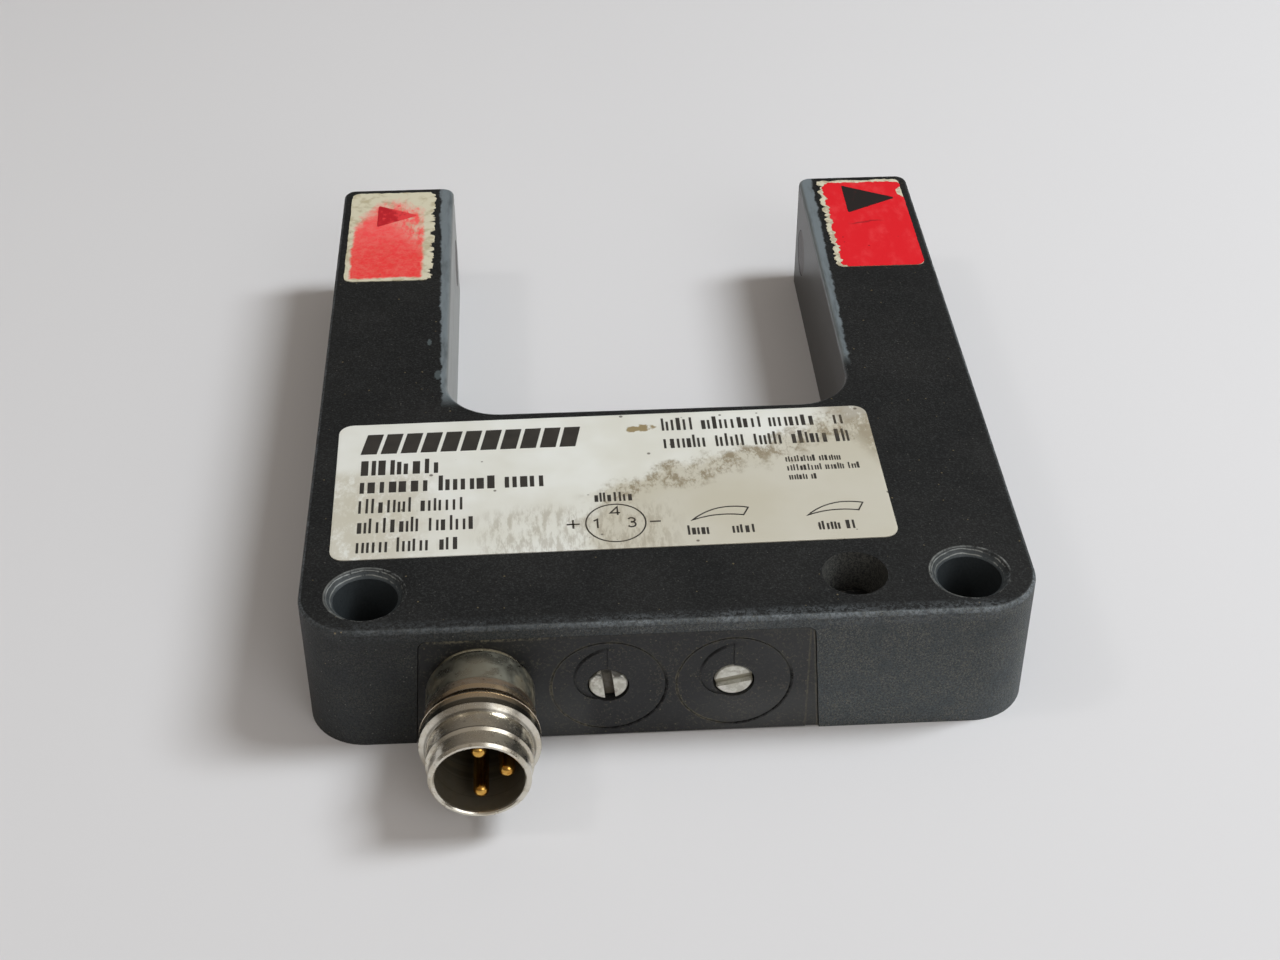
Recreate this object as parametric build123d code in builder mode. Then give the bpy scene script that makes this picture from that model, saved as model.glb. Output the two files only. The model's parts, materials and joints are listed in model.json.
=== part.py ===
from build123d import *

import os
from math import cos, radians, sin

# Fork-type photoelectric sensor: an emitter and a receiver face each other across a slot.
# Millimetres. The origin is midway between the two mounting holes, on the bottom face.
# +X runs from the emitter arm to the receiver arm, +Y towards the fork tips, +Z out of the labelled face.

os.makedirs("parts", exist_ok=True)

# --- Driving dimensions -----------------------------------------------------------------------

# Housing
slot_width = 30.0
slot_depth = 34.0
arm_width = 9.4
body_height = 10.0
front_setback = 3.8
slot_start = 20.0
wall = 1.2
roof = 1.0
front_corner_radius = 4.0
slot_corner_radius = 4.0
tip_corner_radius = 1.0
top_edge_radius = 0.35

# Mounting holes
hole_spacing = 40.0
hole_radius = 2.15
hole_rim_radius = 2.65
boss_radius = 3.4

# Bottom cover, set in a rebate in the underside
rebate_wall = 0.7
rebate_height = 1.1
cover_recess = 0.1
cover_height = 1.0
standoff_height = 0.15
standoff_radius = 0.8
standoff_spacing = (28.0, 9.0)
standoff_y = 11.5
arm_standoff_ys = (32.0, 46.0)

# Panel in the front wall
panel_left_top = -16.5
panel_left_bottom = -17.15
panel_right_top = 9.3
panel_right_bottom = 9.95
panel_corner_radius = 0.6
panel_recess = 0.04
panel_thickness = 1.15
panel_strip_step = 0.05
panel_strip_edge = 9.0
panel_strip_width = 3.0
rotor_hole_radius = 1.38
dial_radius = 3.85
dial_groove = 0.1
dial_groove_depth = 0.06
pocket_inner_radius = 1.3
pocket_outer_radius = 3.35
pocket_sweep = 155.0
pocket_depth = 0.12

# Circular connector, pins along -Y
connector_x = -12.65
connector_z = 5.0
connector_reach = 8.7
collar_setback = 0.6
collar_radius = 3.55
collar_length = 2.5
collar_chamfer = 0.1
ring_radius = 3.62
ring_length = 1.0
ring_groove_radius = 3.4
ring_groove_width = 0.18
flange_radius = 3.9
flange_length = 1.42
flange_groove_width = 0.1
flange_groove_depth = 0.1
rear_bevel_length = 0.45
rear_bevel_radius = 3.6
front_bevel_length = 0.3
nose_radius = 3.42
nose_length = 1.35
nose_tip_radius = 3.25
nose_tip_chamfer = 0.16
socket_radius = 2.85
socket_depth = 6.0
socket_chamfer = 0.09
insert_flange_thickness = 1.0
insert_proud = 0.3
rear_bore_radius = 2.6
neck_radius = 3.2
thread_radius = 2.98
thread_length = 1.6
seal_groove_radius = 2.8
seal_groove_width = 0.5
seal_groove_setback = 0.3
seal_section_radius = 0.2
connector_nut_flats = 7.0
connector_nut_height = 1.0
contact_radius = 0.5
contact_circle_radius = 1.72
contact_recess = 0.6
contact_tip_radius = 0.42
contact_tail_radius = 0.28
contact_bend_radius = 0.6

# Trimmers (two single-turn potentiometers, turned from the front)
mode_x = -4.25
sensitivity_x = 4.05
trimmer_z = 4.5
mode_rest_angle = 96.0
sensitivity_rest_angle = 12.0
trimmer_width = 5.2
trimmer_length = 4.0
trimmer_edge_radius = 0.4
trimmer_face_wall = 0.5
trimmer_bore_radius = 2.3
trimmer_terminal_gap = 3.8
rotor_head_radius = 1.28
rotor_head_recess = 0.12
rotor_head_chamfer = 0.08
rotor_slot_width = 0.7
rotor_slot_depth = 0.5
rotor_disc_radius = 1.8
rotor_disc_thickness = 1.0
rotor_lug_radius = 2.2
rotor_lug_half_angle = 20.0
stop_inner_radius = 1.92
stop_half_angle = 24.0
wiper_thickness = 0.15
wiper_hub_radius = 0.7
wiper_length = 3.2
wiper_width = 0.5
wiper_contact_radius = 0.22
wiper_contact_spacing = 2.7
wiper_gap = 0.3
track_thickness = 0.5
track_hole_radius = 0.4
terminal_width = 0.4
terminal_thickness = 0.25
terminal_end_gap = 0.6
trimmer_seal_length = 0.5
trimmer_seal_radius = 2.1
trimmer_seal_fillet = 0.18

# Circuit board
board_thickness = 0.8
board_front = -2.2
board_arm_inner = 16.4
board_arm_outer = 23.0
board_tip = 52.0
board_back = 18.6
board_shoulder = 4.2
board_notch_y = 0.3
board_notch_right = -8.2
board_left = -16.0
board_right = 15.6

# Chip parts on the board
chip_part_size = (1.6, 0.8)
capacitor_height = 0.8
resistor_height = 0.45
package_chamfer = 0.12
leg_count = 6
leg_pitch = 0.8
leg_gap = 0.45
leg_height = 0.7
leg_thickness = 0.16
leg_reach = 1.1

# Optics, both arms
beam_y = 49.6
beam_z = 5.0
window_radius = 2.0
window_flange_radius = 2.6
window_flange_thickness = 0.4
window_recess = 0.02
lens_rim = 0.6
lens_dome = 1.0
carrier_width = 6.2
carrier_bore_radius = 2.7
carrier_back_bore_radius = 1.62
carrier_top = 8.8
aperture_radius = 0.75
aperture_thickness = 0.3
package_radius = 1.5
package_length = 3.3
package_flange_radius = 1.7
package_flange_thickness = 0.5
lead_radius = 0.22
lead_spacing = 1.78
lead_bend_radius = 0.3
terminal_pitch = 1.27

# Status light
light_x = 12.35
light_y = 0.3
light_radius = 2.2
light_tube_wall = 0.8
light_tube_bottom = 5.0
light_pipe_top = 7.4
light_pipe_base = 0.8
light_pipe_fillet = 0.9

# Label and beam markers
label_length = 38.5
label_width = 15.4
label_thickness = 0.1
label_x = -3.4
label_y = 11.4
label_tilt = 0.65
label_corner_radius = 1.0
marker_width = 7.4
marker_length = 14.5
marker_thickness = 0.08
marker_corner_radius = 0.4
marker_x = 20.05
marker_y = 46.0

# General clearances between pieces that nest
gap = 0.05
fine_gap = 0.02

# --- Derived positions ------------------------------------------------------------------------

body_width = slot_width + 2 * arm_width
front_y = -front_setback
tip_y = slot_start + slot_depth
ceiling = body_height - roof
board_bottom = cover_recess + cover_height + standoff_height
board_top = board_bottom + board_thickness
panel_face = front_y + panel_recess
panel_back = panel_face + panel_thickness
trimmer_front = panel_back + trimmer_seal_length
hole_centres = [(-hole_spacing / 2, 0), (hole_spacing / 2, 0)]
board_arm_x = (board_arm_inner + board_arm_outer) / 2


def front_plane(x, y, z, angle=0.0):
    """Plane facing -Y, its local X turned anticlockwise by angle as seen from the front."""
    turned = (cos(radians(angle)), 0, sin(radians(angle)))
    return Plane(origin=(x, y, z), x_dir=turned, z_dir=(0, -1, 0))


def beam_plane(side, depth):
    """Plane across the beam, depth outwards from the slot face of one arm (side -1 or +1)."""
    return Plane(
        origin=(side * (slot_width / 2 + depth), beam_y, beam_z),
        x_dir=(0, 1, 0),
        z_dir=(side, 0, 0),
    )


def fork_outline(inset):
    """Plan outline of the fork, moved inwards by inset."""
    outer = body_width / 2 - inset
    inner = slot_width / 2 + inset
    front = front_y + inset
    slot_end = slot_start - inset
    tip = tip_y - inset
    tip_radius = max(tip_corner_radius - inset, 0.2)
    with BuildSketch() as outline:
        with BuildLine():
            FilletPolyline(
                (0, front),
                (outer, front),
                (outer, tip),
                (inner, tip),
                (inner, slot_end),
                (0, slot_end),
                radius=[front_corner_radius - inset, tip_radius, tip_radius, slot_corner_radius + inset],
            )
            mirror(about=Plane.YZ)
        make_face()
    return outline.sketch


def front_opening(inset):
    """Opening in the front wall, drafted and open downwards, shrunk by inset. Local Y is the height."""
    with BuildSketch() as opening:
        with BuildLine():
            FilletPolyline(
                (panel_left_bottom + inset, 0),
                (panel_left_top + inset, ceiling - inset),
                (panel_right_top - inset, ceiling - inset),
                (panel_right_bottom - inset, 0),
                radius=[panel_corner_radius, panel_corner_radius],
            )
            Line((panel_right_bottom - inset, 0), (panel_left_bottom + inset, 0))
        make_face()
    return opening.sketch


def ring_sector(inner_radius, outer_radius, middle_angle, half_angle):
    """Part of a flat ring about the sketch origin."""
    start = middle_angle - half_angle
    sweep_angle = 2 * half_angle
    with BuildSketch() as sector:
        with BuildLine():
            inner_arc = CenterArc((0, 0), inner_radius, start, sweep_angle)
            outer_arc = CenterArc((0, 0), outer_radius, start, sweep_angle)
            Line(inner_arc @ 0, outer_arc @ 0)
            Line(inner_arc @ 1, outer_arc @ 1)
        make_face()
    return sector.sketch


def spiral_point(share):
    """Point on a dial pocket's outer edge: share 0 at twelve o'clock, 1 where it runs into the rotor hole."""
    angle = radians(90 + share * pocket_sweep)
    radius = pocket_outer_radius - share * (pocket_outer_radius - pocket_inner_radius)
    return (radius * cos(angle), radius * sin(angle))


def screw_corners(radius):
    """Round bosses about the mounting holes, filled out to the housing's front corners."""
    with BuildSketch() as corners:
        for (x, y), outward in zip(hole_centres, (Align.MAX, Align.MIN)):
            with Locations((x, y)):
                Circle(radius)
                Rectangle(arm_width, arm_width, align=(outward, Align.MAX))
    return corners.sketch


# --- Housing and cover ------------------------------------------------------------------------

with BuildPart() as housing:
    with BuildSketch():
        add(fork_outline(0))
    extrude(amount=body_height)
    fillet(housing.faces().sort_by(Axis.Z)[-1].outer_wire().edges(), radius=top_edge_radius)
    # Hollow, with a rebate for the bottom cover
    with BuildSketch():
        add(fork_outline(wall))
    extrude(amount=ceiling, mode=Mode.SUBTRACT)
    with BuildSketch():
        add(fork_outline(rebate_wall))
    extrude(amount=rebate_height, mode=Mode.SUBTRACT)
    # Screw bosses and the tube round the status light
    with BuildSketch():
        add(fork_outline(wall / 2))
        add(screw_corners(boss_radius), mode=Mode.INTERSECT)
    extrude(amount=ceiling)
    with BuildSketch(Plane.XY.offset(light_tube_bottom)):
        with Locations((light_x, light_y)):
            Circle(light_radius + light_tube_wall)
    extrude(amount=ceiling - light_tube_bottom)
    with BuildSketch(Plane.XY.offset(light_tube_bottom)):
        with Locations((light_x, light_y)):
            Circle(light_radius)
    extrude(amount=body_height - light_tube_bottom, mode=Mode.SUBTRACT)
    # Opening in the front wall for the panel
    with BuildSketch(front_plane(0, front_y, 0)):
        add(front_opening(0))
    extrude(amount=-wall, mode=Mode.SUBTRACT)
    # Window seats in the two slot faces
    for side in (-1, 1):
        with BuildSketch(beam_plane(side, 0)):
            Circle(window_radius)
        extrude(amount=wall, mode=Mode.SUBTRACT)
    with Locations(*[(x, y, body_height) for x, y in hole_centres]):
        CounterSinkHole(hole_radius, hole_rim_radius, depth=body_height, counter_sink_angle=90)
housing.part.label = "housing"
export_step(housing.part, "parts/housing.step")

with BuildPart() as bottom_cover:
    with BuildSketch(Plane.XY.offset(cover_recess)):
        add(fork_outline(rebate_wall + gap))
        add(screw_corners(boss_radius + gap), mode=Mode.SUBTRACT)
        with Locations(((panel_left_bottom + panel_right_bottom) / 2, front_y)):
            Rectangle(
                panel_right_bottom - panel_left_bottom + 2 * gap,
                2 * (panel_back - front_y + gap),
                mode=Mode.SUBTRACT,
            )
    extrude(amount=cover_height)
    # Low pads that carry the circuit board
    with BuildSketch(Plane.XY.offset(cover_recess + cover_height)):
        with Locations((0, standoff_y)):
            with GridLocations(*standoff_spacing, 2, 2):
                Circle(standoff_radius)
        with Locations(*[(side * board_arm_x, y) for side in (-1, 1) for y in arm_standoff_ys]):
            Circle(standoff_radius)
    extrude(amount=standoff_height)
bottom_cover.part.label = "bottom_cover"
export_step(bottom_cover.part, "parts/bottom_cover.step")

# --- Front panel ------------------------------------------------------------------------------

with BuildPart() as connector_panel:
    with BuildSketch(front_plane(0, panel_face, 0)):
        add(front_opening(gap))
        Rectangle(2 * body_width, 2 * cover_recess, mode=Mode.SUBTRACT)
        with Locations((connector_x, connector_z)):
            Circle(neck_radius + gap, mode=Mode.SUBTRACT)
        with Locations((mode_x, trimmer_z), (sensitivity_x, trimmer_z)):
            Circle(rotor_hole_radius, mode=Mode.SUBTRACT)
    extrude(amount=-panel_thickness)
    # Lower strip beside the dials
    with BuildSketch(front_plane(panel_strip_edge, panel_face, 0)):
        Rectangle(panel_strip_width, 2 * body_height, align=(Align.MIN, Align.CENTER))
    extrude(amount=-panel_strip_step, mode=Mode.SUBTRACT)
    for dial_x in (mode_x, sensitivity_x):
        # Ring groove round the dial
        with BuildSketch(front_plane(dial_x, panel_face, trimmer_z)):
            Circle(dial_radius)
            Circle(dial_radius - dial_groove, mode=Mode.SUBTRACT)
        extrude(amount=-dial_groove_depth, mode=Mode.SUBTRACT)
        # Snail-shaped pocket about the rotor hole that widens clockwise up to twelve o'clock
        with BuildSketch(front_plane(dial_x, panel_face, trimmer_z)):
            with BuildLine():
                CenterArc((0, 0), pocket_inner_radius, 90, pocket_sweep)
                Spline(*[spiral_point(step / 4) for step in range(5)])
                Line((0, pocket_inner_radius), (0, pocket_outer_radius))
            make_face()
        extrude(amount=-pocket_depth, mode=Mode.SUBTRACT)
connector_panel.part.label = "connector_panel"
export_step(connector_panel.part, "parts/connector_panel.step")

# --- Label and beam markers -------------------------------------------------------------------

with BuildPart() as type_label:
    with BuildSketch(Plane.XY.offset(body_height)):
        with Locations(Location((label_x, label_y), label_tilt)):
            RectangleRounded(label_length, label_width, label_corner_radius)
    extrude(amount=label_thickness)
type_label.part.label = "type_label"
export_step(type_label.part, "parts/type_label.step")

for side, role in ((-1, "emitter"), (1, "receiver")):
    with BuildPart() as marker:
        with BuildSketch(Plane.XY.offset(body_height)):
            with Locations((side * marker_x, marker_y)):
                RectangleRounded(marker_width, marker_length, marker_corner_radius)
        extrude(amount=marker_thickness)
    marker.part.label = f"{role}_marker"
    export_step(marker.part, f"parts/{role}_marker.step")

# --- Connector --------------------------------------------------------------------------------

rim_y = front_y - connector_reach
collar_back = panel_face - collar_setback
collar_end = collar_back - collar_length
ring_end = collar_end - ring_length
flange_back = ring_end - ring_groove_width
bevel_end = flange_back - rear_bevel_length
flange_front = flange_back - flange_length
nose_back = flange_front - front_bevel_length
nose_step = nose_back - nose_length
insert_face = rim_y + socket_depth
insert_shoulder = insert_face + insert_flange_thickness
shell_end = panel_back + thread_length
insert_end = shell_end + insert_proud
seal_groove_back = panel_back - seal_groove_setback
seal_groove_front = seal_groove_back - seal_groove_width

with BuildPart() as connector_shell:
    # Half section: local X is the radius and local Y runs towards the rim
    with BuildSketch(Plane(origin=(connector_x, 0, connector_z), x_dir=(1, 0, 0), z_dir=(0, 0, 1))):
        with BuildLine():
            Polyline(
                (rear_bore_radius, shell_end),
                (thread_radius, shell_end),
                (thread_radius, panel_back),
                (neck_radius, panel_back),
                (neck_radius, seal_groove_back),
                (seal_groove_radius, seal_groove_back),
                (seal_groove_radius, seal_groove_front),
                (neck_radius, seal_groove_front),
                (neck_radius, collar_back),
                (collar_radius - collar_chamfer, collar_back),
                (collar_radius, collar_back - collar_chamfer),
                (collar_radius, collar_end),
                (ring_radius, collar_end),
                (ring_radius, ring_end),
                (ring_groove_radius, ring_end),
                (ring_groove_radius, flange_back),
                (rear_bevel_radius, flange_back),
                (flange_radius, bevel_end),
                (flange_radius - flange_groove_depth, bevel_end - flange_groove_width / 2),
                (flange_radius, bevel_end - flange_groove_width),
                (flange_radius, flange_front),
                (nose_radius, nose_back),
                (nose_radius, nose_step),
                (nose_tip_radius, nose_step - nose_tip_chamfer),
                (nose_tip_radius, rim_y + nose_tip_chamfer),
                (nose_tip_radius - nose_tip_chamfer, rim_y),
                (socket_radius + socket_chamfer, rim_y),
                (socket_radius, rim_y + socket_chamfer),
                (socket_radius, insert_shoulder),
                (rear_bore_radius, insert_shoulder),
                close=True,
            )
        make_face()
    revolve(axis=Axis((connector_x, 0, connector_z), (0, 1, 0)))
connector_shell.part.label = "connector_shell"
export_step(connector_shell.part, "parts/connector_shell.step")

# Contacts: name -> (offset along X, offset along Z, where the solder tail drops to the board)
contacts = {
    "contact_pin_1": (0, contact_circle_radius, 3.8),
    "contact_pin_4": (contact_circle_radius, 0, 2.7),
    "contact_pin_3": (0, -contact_circle_radius, 1.6),
}

with BuildPart() as connector_insert:
    with BuildSketch(front_plane(connector_x, insert_face, connector_z)):
        Circle(socket_radius - gap)
    extrude(amount=insert_face - insert_shoulder + gap)
    with BuildSketch(front_plane(connector_x, insert_shoulder - gap, connector_z)):
        Circle(rear_bore_radius - gap)
    extrude(amount=insert_shoulder - gap - insert_end)
    with BuildSketch(front_plane(connector_x, insert_face, connector_z)):
        with Locations(*[(x, z) for x, z, _ in contacts.values()]):
            Circle(contact_radius + fine_gap)
    extrude(amount=insert_face - insert_end, mode=Mode.SUBTRACT)
connector_insert.part.label = "connector_insert"
export_step(connector_insert.part, "parts/connector_insert.step")

contact_tip = rim_y + contact_recess
for label, (offset_x, offset_z, drop_y) in contacts.items():
    pin_x = connector_x + offset_x
    pin_z = connector_z + offset_z
    with BuildPart() as contact:
        with BuildSketch(front_plane(pin_x, insert_end, pin_z)):
            Circle(contact_radius)
        extrude(amount=insert_end - contact_tip)
        fillet(contact.edges().sort_by(Axis.Y)[0], radius=contact_tip_radius)
        # Solder tail, bent down to the circuit board
        with BuildLine():
            FilletPolyline(
                (pin_x, insert_end, pin_z),
                (pin_x, drop_y, pin_z),
                (pin_x, drop_y, board_top),
                radius=contact_bend_radius,
            )
        with BuildSketch(Plane(origin=(pin_x, insert_end, pin_z), z_dir=(0, 1, 0))):
            Circle(contact_tail_radius)
        sweep()
    contact.part.label = label
    export_step(contact.part, f"parts/{label}.step")

seal_middle = (seal_groove_front + seal_groove_back) / 2
with BuildPart() as connector_seal:
    with BuildSketch(Plane(origin=(connector_x, 0, connector_z), x_dir=(1, 0, 0), z_dir=(0, 0, 1))):
        with Locations((seal_groove_radius + seal_section_radius + fine_gap, seal_middle)):
            Circle(seal_section_radius)
    revolve(axis=Axis((connector_x, 0, connector_z), (0, 1, 0)))
connector_seal.part.label = "connector_seal"
export_step(connector_seal.part, "parts/connector_seal.step")

with BuildPart() as connector_nut:
    with BuildSketch(front_plane(connector_x, panel_back, connector_z)):
        RegularPolygon(connector_nut_flats / 2, 6, major_radius=False)
        Circle(thread_radius + fine_gap, mode=Mode.SUBTRACT)
    extrude(amount=-connector_nut_height)
connector_nut.part.label = "connector_nut"
export_step(connector_nut.part, "parts/connector_nut.step")

# --- Trimmers ---------------------------------------------------------------------------------


def make_trimmer(role, centre_x, rest_angle):
    """One single-turn trimmer: fixed body, track, terminals and seal; turning rotor and wiper."""
    half_height = trimmer_z - board_top
    bore_front = trimmer_front + trimmer_face_wall
    disc_front = bore_front + gap
    disc_back = disc_front + rotor_disc_thickness
    track_front = disc_back + wiper_thickness + wiper_gap
    trimmer_back = trimmer_front + trimmer_length
    terminal_front = track_front + track_thickness

    with BuildPart() as body:
        with BuildSketch(front_plane(centre_x, trimmer_front, trimmer_z)):
            Rectangle(trimmer_width, 2 * half_height)
        extrude(amount=-trimmer_length)
        fillet(body.edges().filter_by(Axis.Y), radius=trimmer_edge_radius)
        with BuildSketch(front_plane(centre_x, trimmer_front, trimmer_z)):
            Circle(rotor_hole_radius)
        extrude(amount=-trimmer_face_wall, mode=Mode.SUBTRACT)
        with BuildSketch(front_plane(centre_x, bore_front, trimmer_z)):
            Circle(trimmer_bore_radius)
        extrude(amount=bore_front - trimmer_back, mode=Mode.SUBTRACT)
        # End stop, opposite the middle of the travel
        with BuildSketch(front_plane(centre_x, bore_front, trimmer_z)):
            add(ring_sector(stop_inner_radius, trimmer_bore_radius + gap, -90, stop_half_angle))
        extrude(amount=bore_front - disc_back)
        # Way out for the terminals
        with BuildSketch(front_plane(centre_x, terminal_front, trimmer_z - half_height)):
            Rectangle(trimmer_terminal_gap, half_height)
        extrude(amount=terminal_front - trimmer_back, mode=Mode.SUBTRACT)
    body.part.label = f"{role}_trimmer_body"
    export_step(body.part, f"parts/{role}_trimmer_body.step")

    with BuildPart() as rotor:
        with BuildSketch(front_plane(centre_x, disc_back, trimmer_z, rest_angle)):
            Circle(rotor_disc_radius)
            add(ring_sector(rotor_head_radius, rotor_lug_radius, 0, rotor_lug_half_angle))
        extrude(amount=rotor_disc_thickness)
        head_face = panel_face + rotor_head_recess
        with BuildSketch(front_plane(centre_x, disc_front, trimmer_z)):
            Circle(rotor_head_radius)
        extrude(amount=disc_front - head_face)
        chamfer(rotor.edges().sort_by(Axis.Y)[0], length=rotor_head_chamfer)
        with BuildSketch(front_plane(centre_x, head_face, trimmer_z, rest_angle)):
            Rectangle(3 * rotor_head_radius, rotor_slot_width)
        extrude(amount=-rotor_slot_depth, mode=Mode.SUBTRACT)
    rotor.part.label = f"{role}_trimmer_rotor"
    export_step(rotor.part, f"parts/{role}_trimmer_rotor.step")

    with BuildPart() as wiper:
        with BuildSketch(front_plane(centre_x, disc_back, trimmer_z, rest_angle)):
            Circle(wiper_hub_radius)
            Rectangle(wiper_length, wiper_width)
        extrude(amount=-wiper_thickness)
        # Contact points that rub along the track
        with BuildSketch(front_plane(centre_x, disc_back + wiper_thickness, trimmer_z, rest_angle)):
            with GridLocations(wiper_contact_spacing, 0, 2, 1):
                Circle(wiper_contact_radius)
        extrude(amount=gap - wiper_gap)
    wiper.part.label = f"{role}_trimmer_wiper"
    export_step(wiper.part, f"parts/{role}_trimmer_wiper.step")

    with BuildPart() as track:
        with BuildSketch(front_plane(centre_x, track_front, trimmer_z)):
            Circle(trimmer_bore_radius - gap)
            Circle(track_hole_radius, mode=Mode.SUBTRACT)
        extrude(amount=-track_thickness)
    track.part.label = f"{role}_trimmer_track"
    export_step(track.part, f"parts/{role}_trimmer_track.step")

    with BuildPart() as terminals:
        with BuildSketch(front_plane(centre_x, terminal_front, board_top)):
            with GridLocations(terminal_pitch, 0, 3, 1):
                Rectangle(terminal_width, half_height - terminal_end_gap, align=(Align.CENTER, Align.MIN))
        extrude(amount=-terminal_thickness)
    terminals.part.label = f"{role}_trimmer_terminals"
    export_step(terminals.part, f"parts/{role}_trimmer_terminals.step")

    with BuildPart() as seal:
        with BuildSketch(front_plane(centre_x, panel_back, trimmer_z)):
            Circle(trimmer_seal_radius)
            Circle(rotor_hole_radius, mode=Mode.SUBTRACT)
        extrude(amount=-trimmer_seal_length)
        outer_edges = seal.edges().filter_by(GeomType.CIRCLE).group_by(SortBy.RADIUS)[-1]
        fillet(outer_edges, radius=trimmer_seal_fillet)
    seal.part.label = f"{role}_trimmer_seal"
    export_step(seal.part, f"parts/{role}_trimmer_seal.step")


make_trimmer("mode", mode_x, mode_rest_angle)
make_trimmer("sensitivity", sensitivity_x, sensitivity_rest_angle)

# --- Circuit board ----------------------------------------------------------------------------

with BuildPart() as circuit_board:
    with BuildSketch(Plane.XY.offset(board_bottom)):
        Polygon(
            (board_left, board_notch_y),
            (board_notch_right, board_notch_y),
            (board_notch_right, board_front),
            (board_right, board_front),
            (board_right, board_shoulder),
            (board_arm_outer, board_shoulder),
            (board_arm_outer, board_tip),
            (board_arm_inner, board_tip),
            (board_arm_inner, board_back),
            (-board_arm_inner, board_back),
            (-board_arm_inner, board_tip),
            (-board_arm_outer, board_tip),
            (-board_arm_outer, board_shoulder),
            (board_left, board_shoulder),
            align=None,
        )
    extrude(amount=board_thickness)
circuit_board.part.label = "circuit_board"
export_step(circuit_board.part, "parts/circuit_board.step")

# Parts soldered to the top of the board: name -> (centre x, centre y, length, width, height)
blocks = {
    "controller_chip": (-2.0, 9.8, 6.0, 4.0, 1.4),
    "voltage_regulator": (-11.5, 8.6, 4.4, 2.5, 1.5),
    "output_transistor": (8.6, 8.4, 2.9, 1.4, 1.0),
    "storage_capacitor": (-11.5, 13.4, 3.4, 2.8, 1.9),
    "status_led": (light_x, light_y, 2.0, 1.25, 0.9),
}
for label, (centre_x, centre_y, length, width, height) in blocks.items():
    with BuildPart() as block:
        with BuildSketch(Plane.XY.offset(board_top)):
            with Locations((centre_x, centre_y)):
                Rectangle(length, width)
        extrude(amount=height)
        chamfer(block.faces().sort_by(Axis.Z)[-1].edges(), length=package_chamfer)
    block.part.label = label
    export_step(block.part, f"parts/{label}.step")

# Gull-wing legs of the controller, two rows
chip_x, chip_y, chip_length, chip_width, chip_height = blocks["controller_chip"]
with BuildPart() as controller_legs:
    for side in (-1, 1):
        leg_root = (chip_x, chip_y + side * chip_width / 2, board_top)
        with BuildSketch(Plane(origin=leg_root, x_dir=(0, 1, 0), z_dir=(1, 0, 0))):
            with BuildLine():
                # Upper edge outwards to the foot, then back along the lower edge
                Polyline(
                    (0, leg_height),
                    (side * 0.36 * leg_reach, leg_height),
                    (side * 0.55 * leg_reach, leg_thickness),
                    (side * leg_reach, leg_thickness),
                    (side * leg_reach, 0),
                    (side * 0.41 * leg_reach, 0),
                    (side * 0.25 * leg_reach, leg_height - leg_thickness),
                    (0, leg_height - leg_thickness),
                    close=True,
                )
            make_face()
        extrude(amount=chip_length / 2 - leg_thickness, both=True)
    # Cut the two strips into single legs
    with BuildSketch(Plane.XY.offset(board_top)):
        with Locations((chip_x, chip_y)):
            with GridLocations(leg_pitch, 0, leg_count, 1):
                Rectangle(leg_gap, 2 * chip_width)
    extrude(amount=chip_height, mode=Mode.SUBTRACT)
controller_legs.part.label = "controller_legs"
export_step(controller_legs.part, "parts/controller_legs.step")

# Rows of equal chip parts: (centre x, centre y, pitch x, pitch y, columns, rows)
capacitor_rows = [
    (3.6, 14.6, 2.6, 2.0, 3, 2),
    (-board_arm_x, 39.75, 0, 2.5, 1, 2),
    (board_arm_x, 39.75, 0, 2.5, 1, 2),
]
resistor_rows = [
    (-5.2, 15.6, 2.4, 1.8, 3, 2),
    (12.6, 10.0, 2.4, 2.2, 2, 3),
    (-board_arm_x, 33.0, 0, 0, 1, 1),
    (board_arm_x, 31.75, 0, 2.5, 1, 2),
]
for label, rows, height in (
    ("capacitors", capacitor_rows, capacitor_height),
    ("resistors", resistor_rows, resistor_height),
):
    with BuildPart() as chip_parts:
        with BuildSketch(Plane.XY.offset(board_top)):
            for row_x, row_y, pitch_x, pitch_y, columns, lines in rows:
                with Locations((row_x, row_y)):
                    with GridLocations(pitch_x, pitch_y, columns, lines):
                        Rectangle(*chip_part_size)
        extrude(amount=height)
    chip_parts.part.label = label
    export_step(chip_parts.part, f"parts/{label}.step")

# --- Status light -----------------------------------------------------------------------------

with BuildPart() as light_pipe:
    with BuildSketch(Plane.XY.offset(light_tube_bottom - light_pipe_base)):
        with Locations((light_x, light_y)):
            Circle(light_radius + light_tube_wall - 2 * gap)
    extrude(amount=light_pipe_base)
    with BuildSketch(Plane.XY.offset(light_tube_bottom)):
        with Locations((light_x, light_y)):
            Circle(light_radius - gap)
    extrude(amount=light_pipe_top - light_tube_bottom)
    fillet(light_pipe.edges().sort_by(Axis.Z)[-1], radius=light_pipe_fillet)
light_pipe.part.label = "light_pipe"
export_step(light_pipe.part, "parts/light_pipe.step")

# --- Optics -----------------------------------------------------------------------------------


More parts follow.
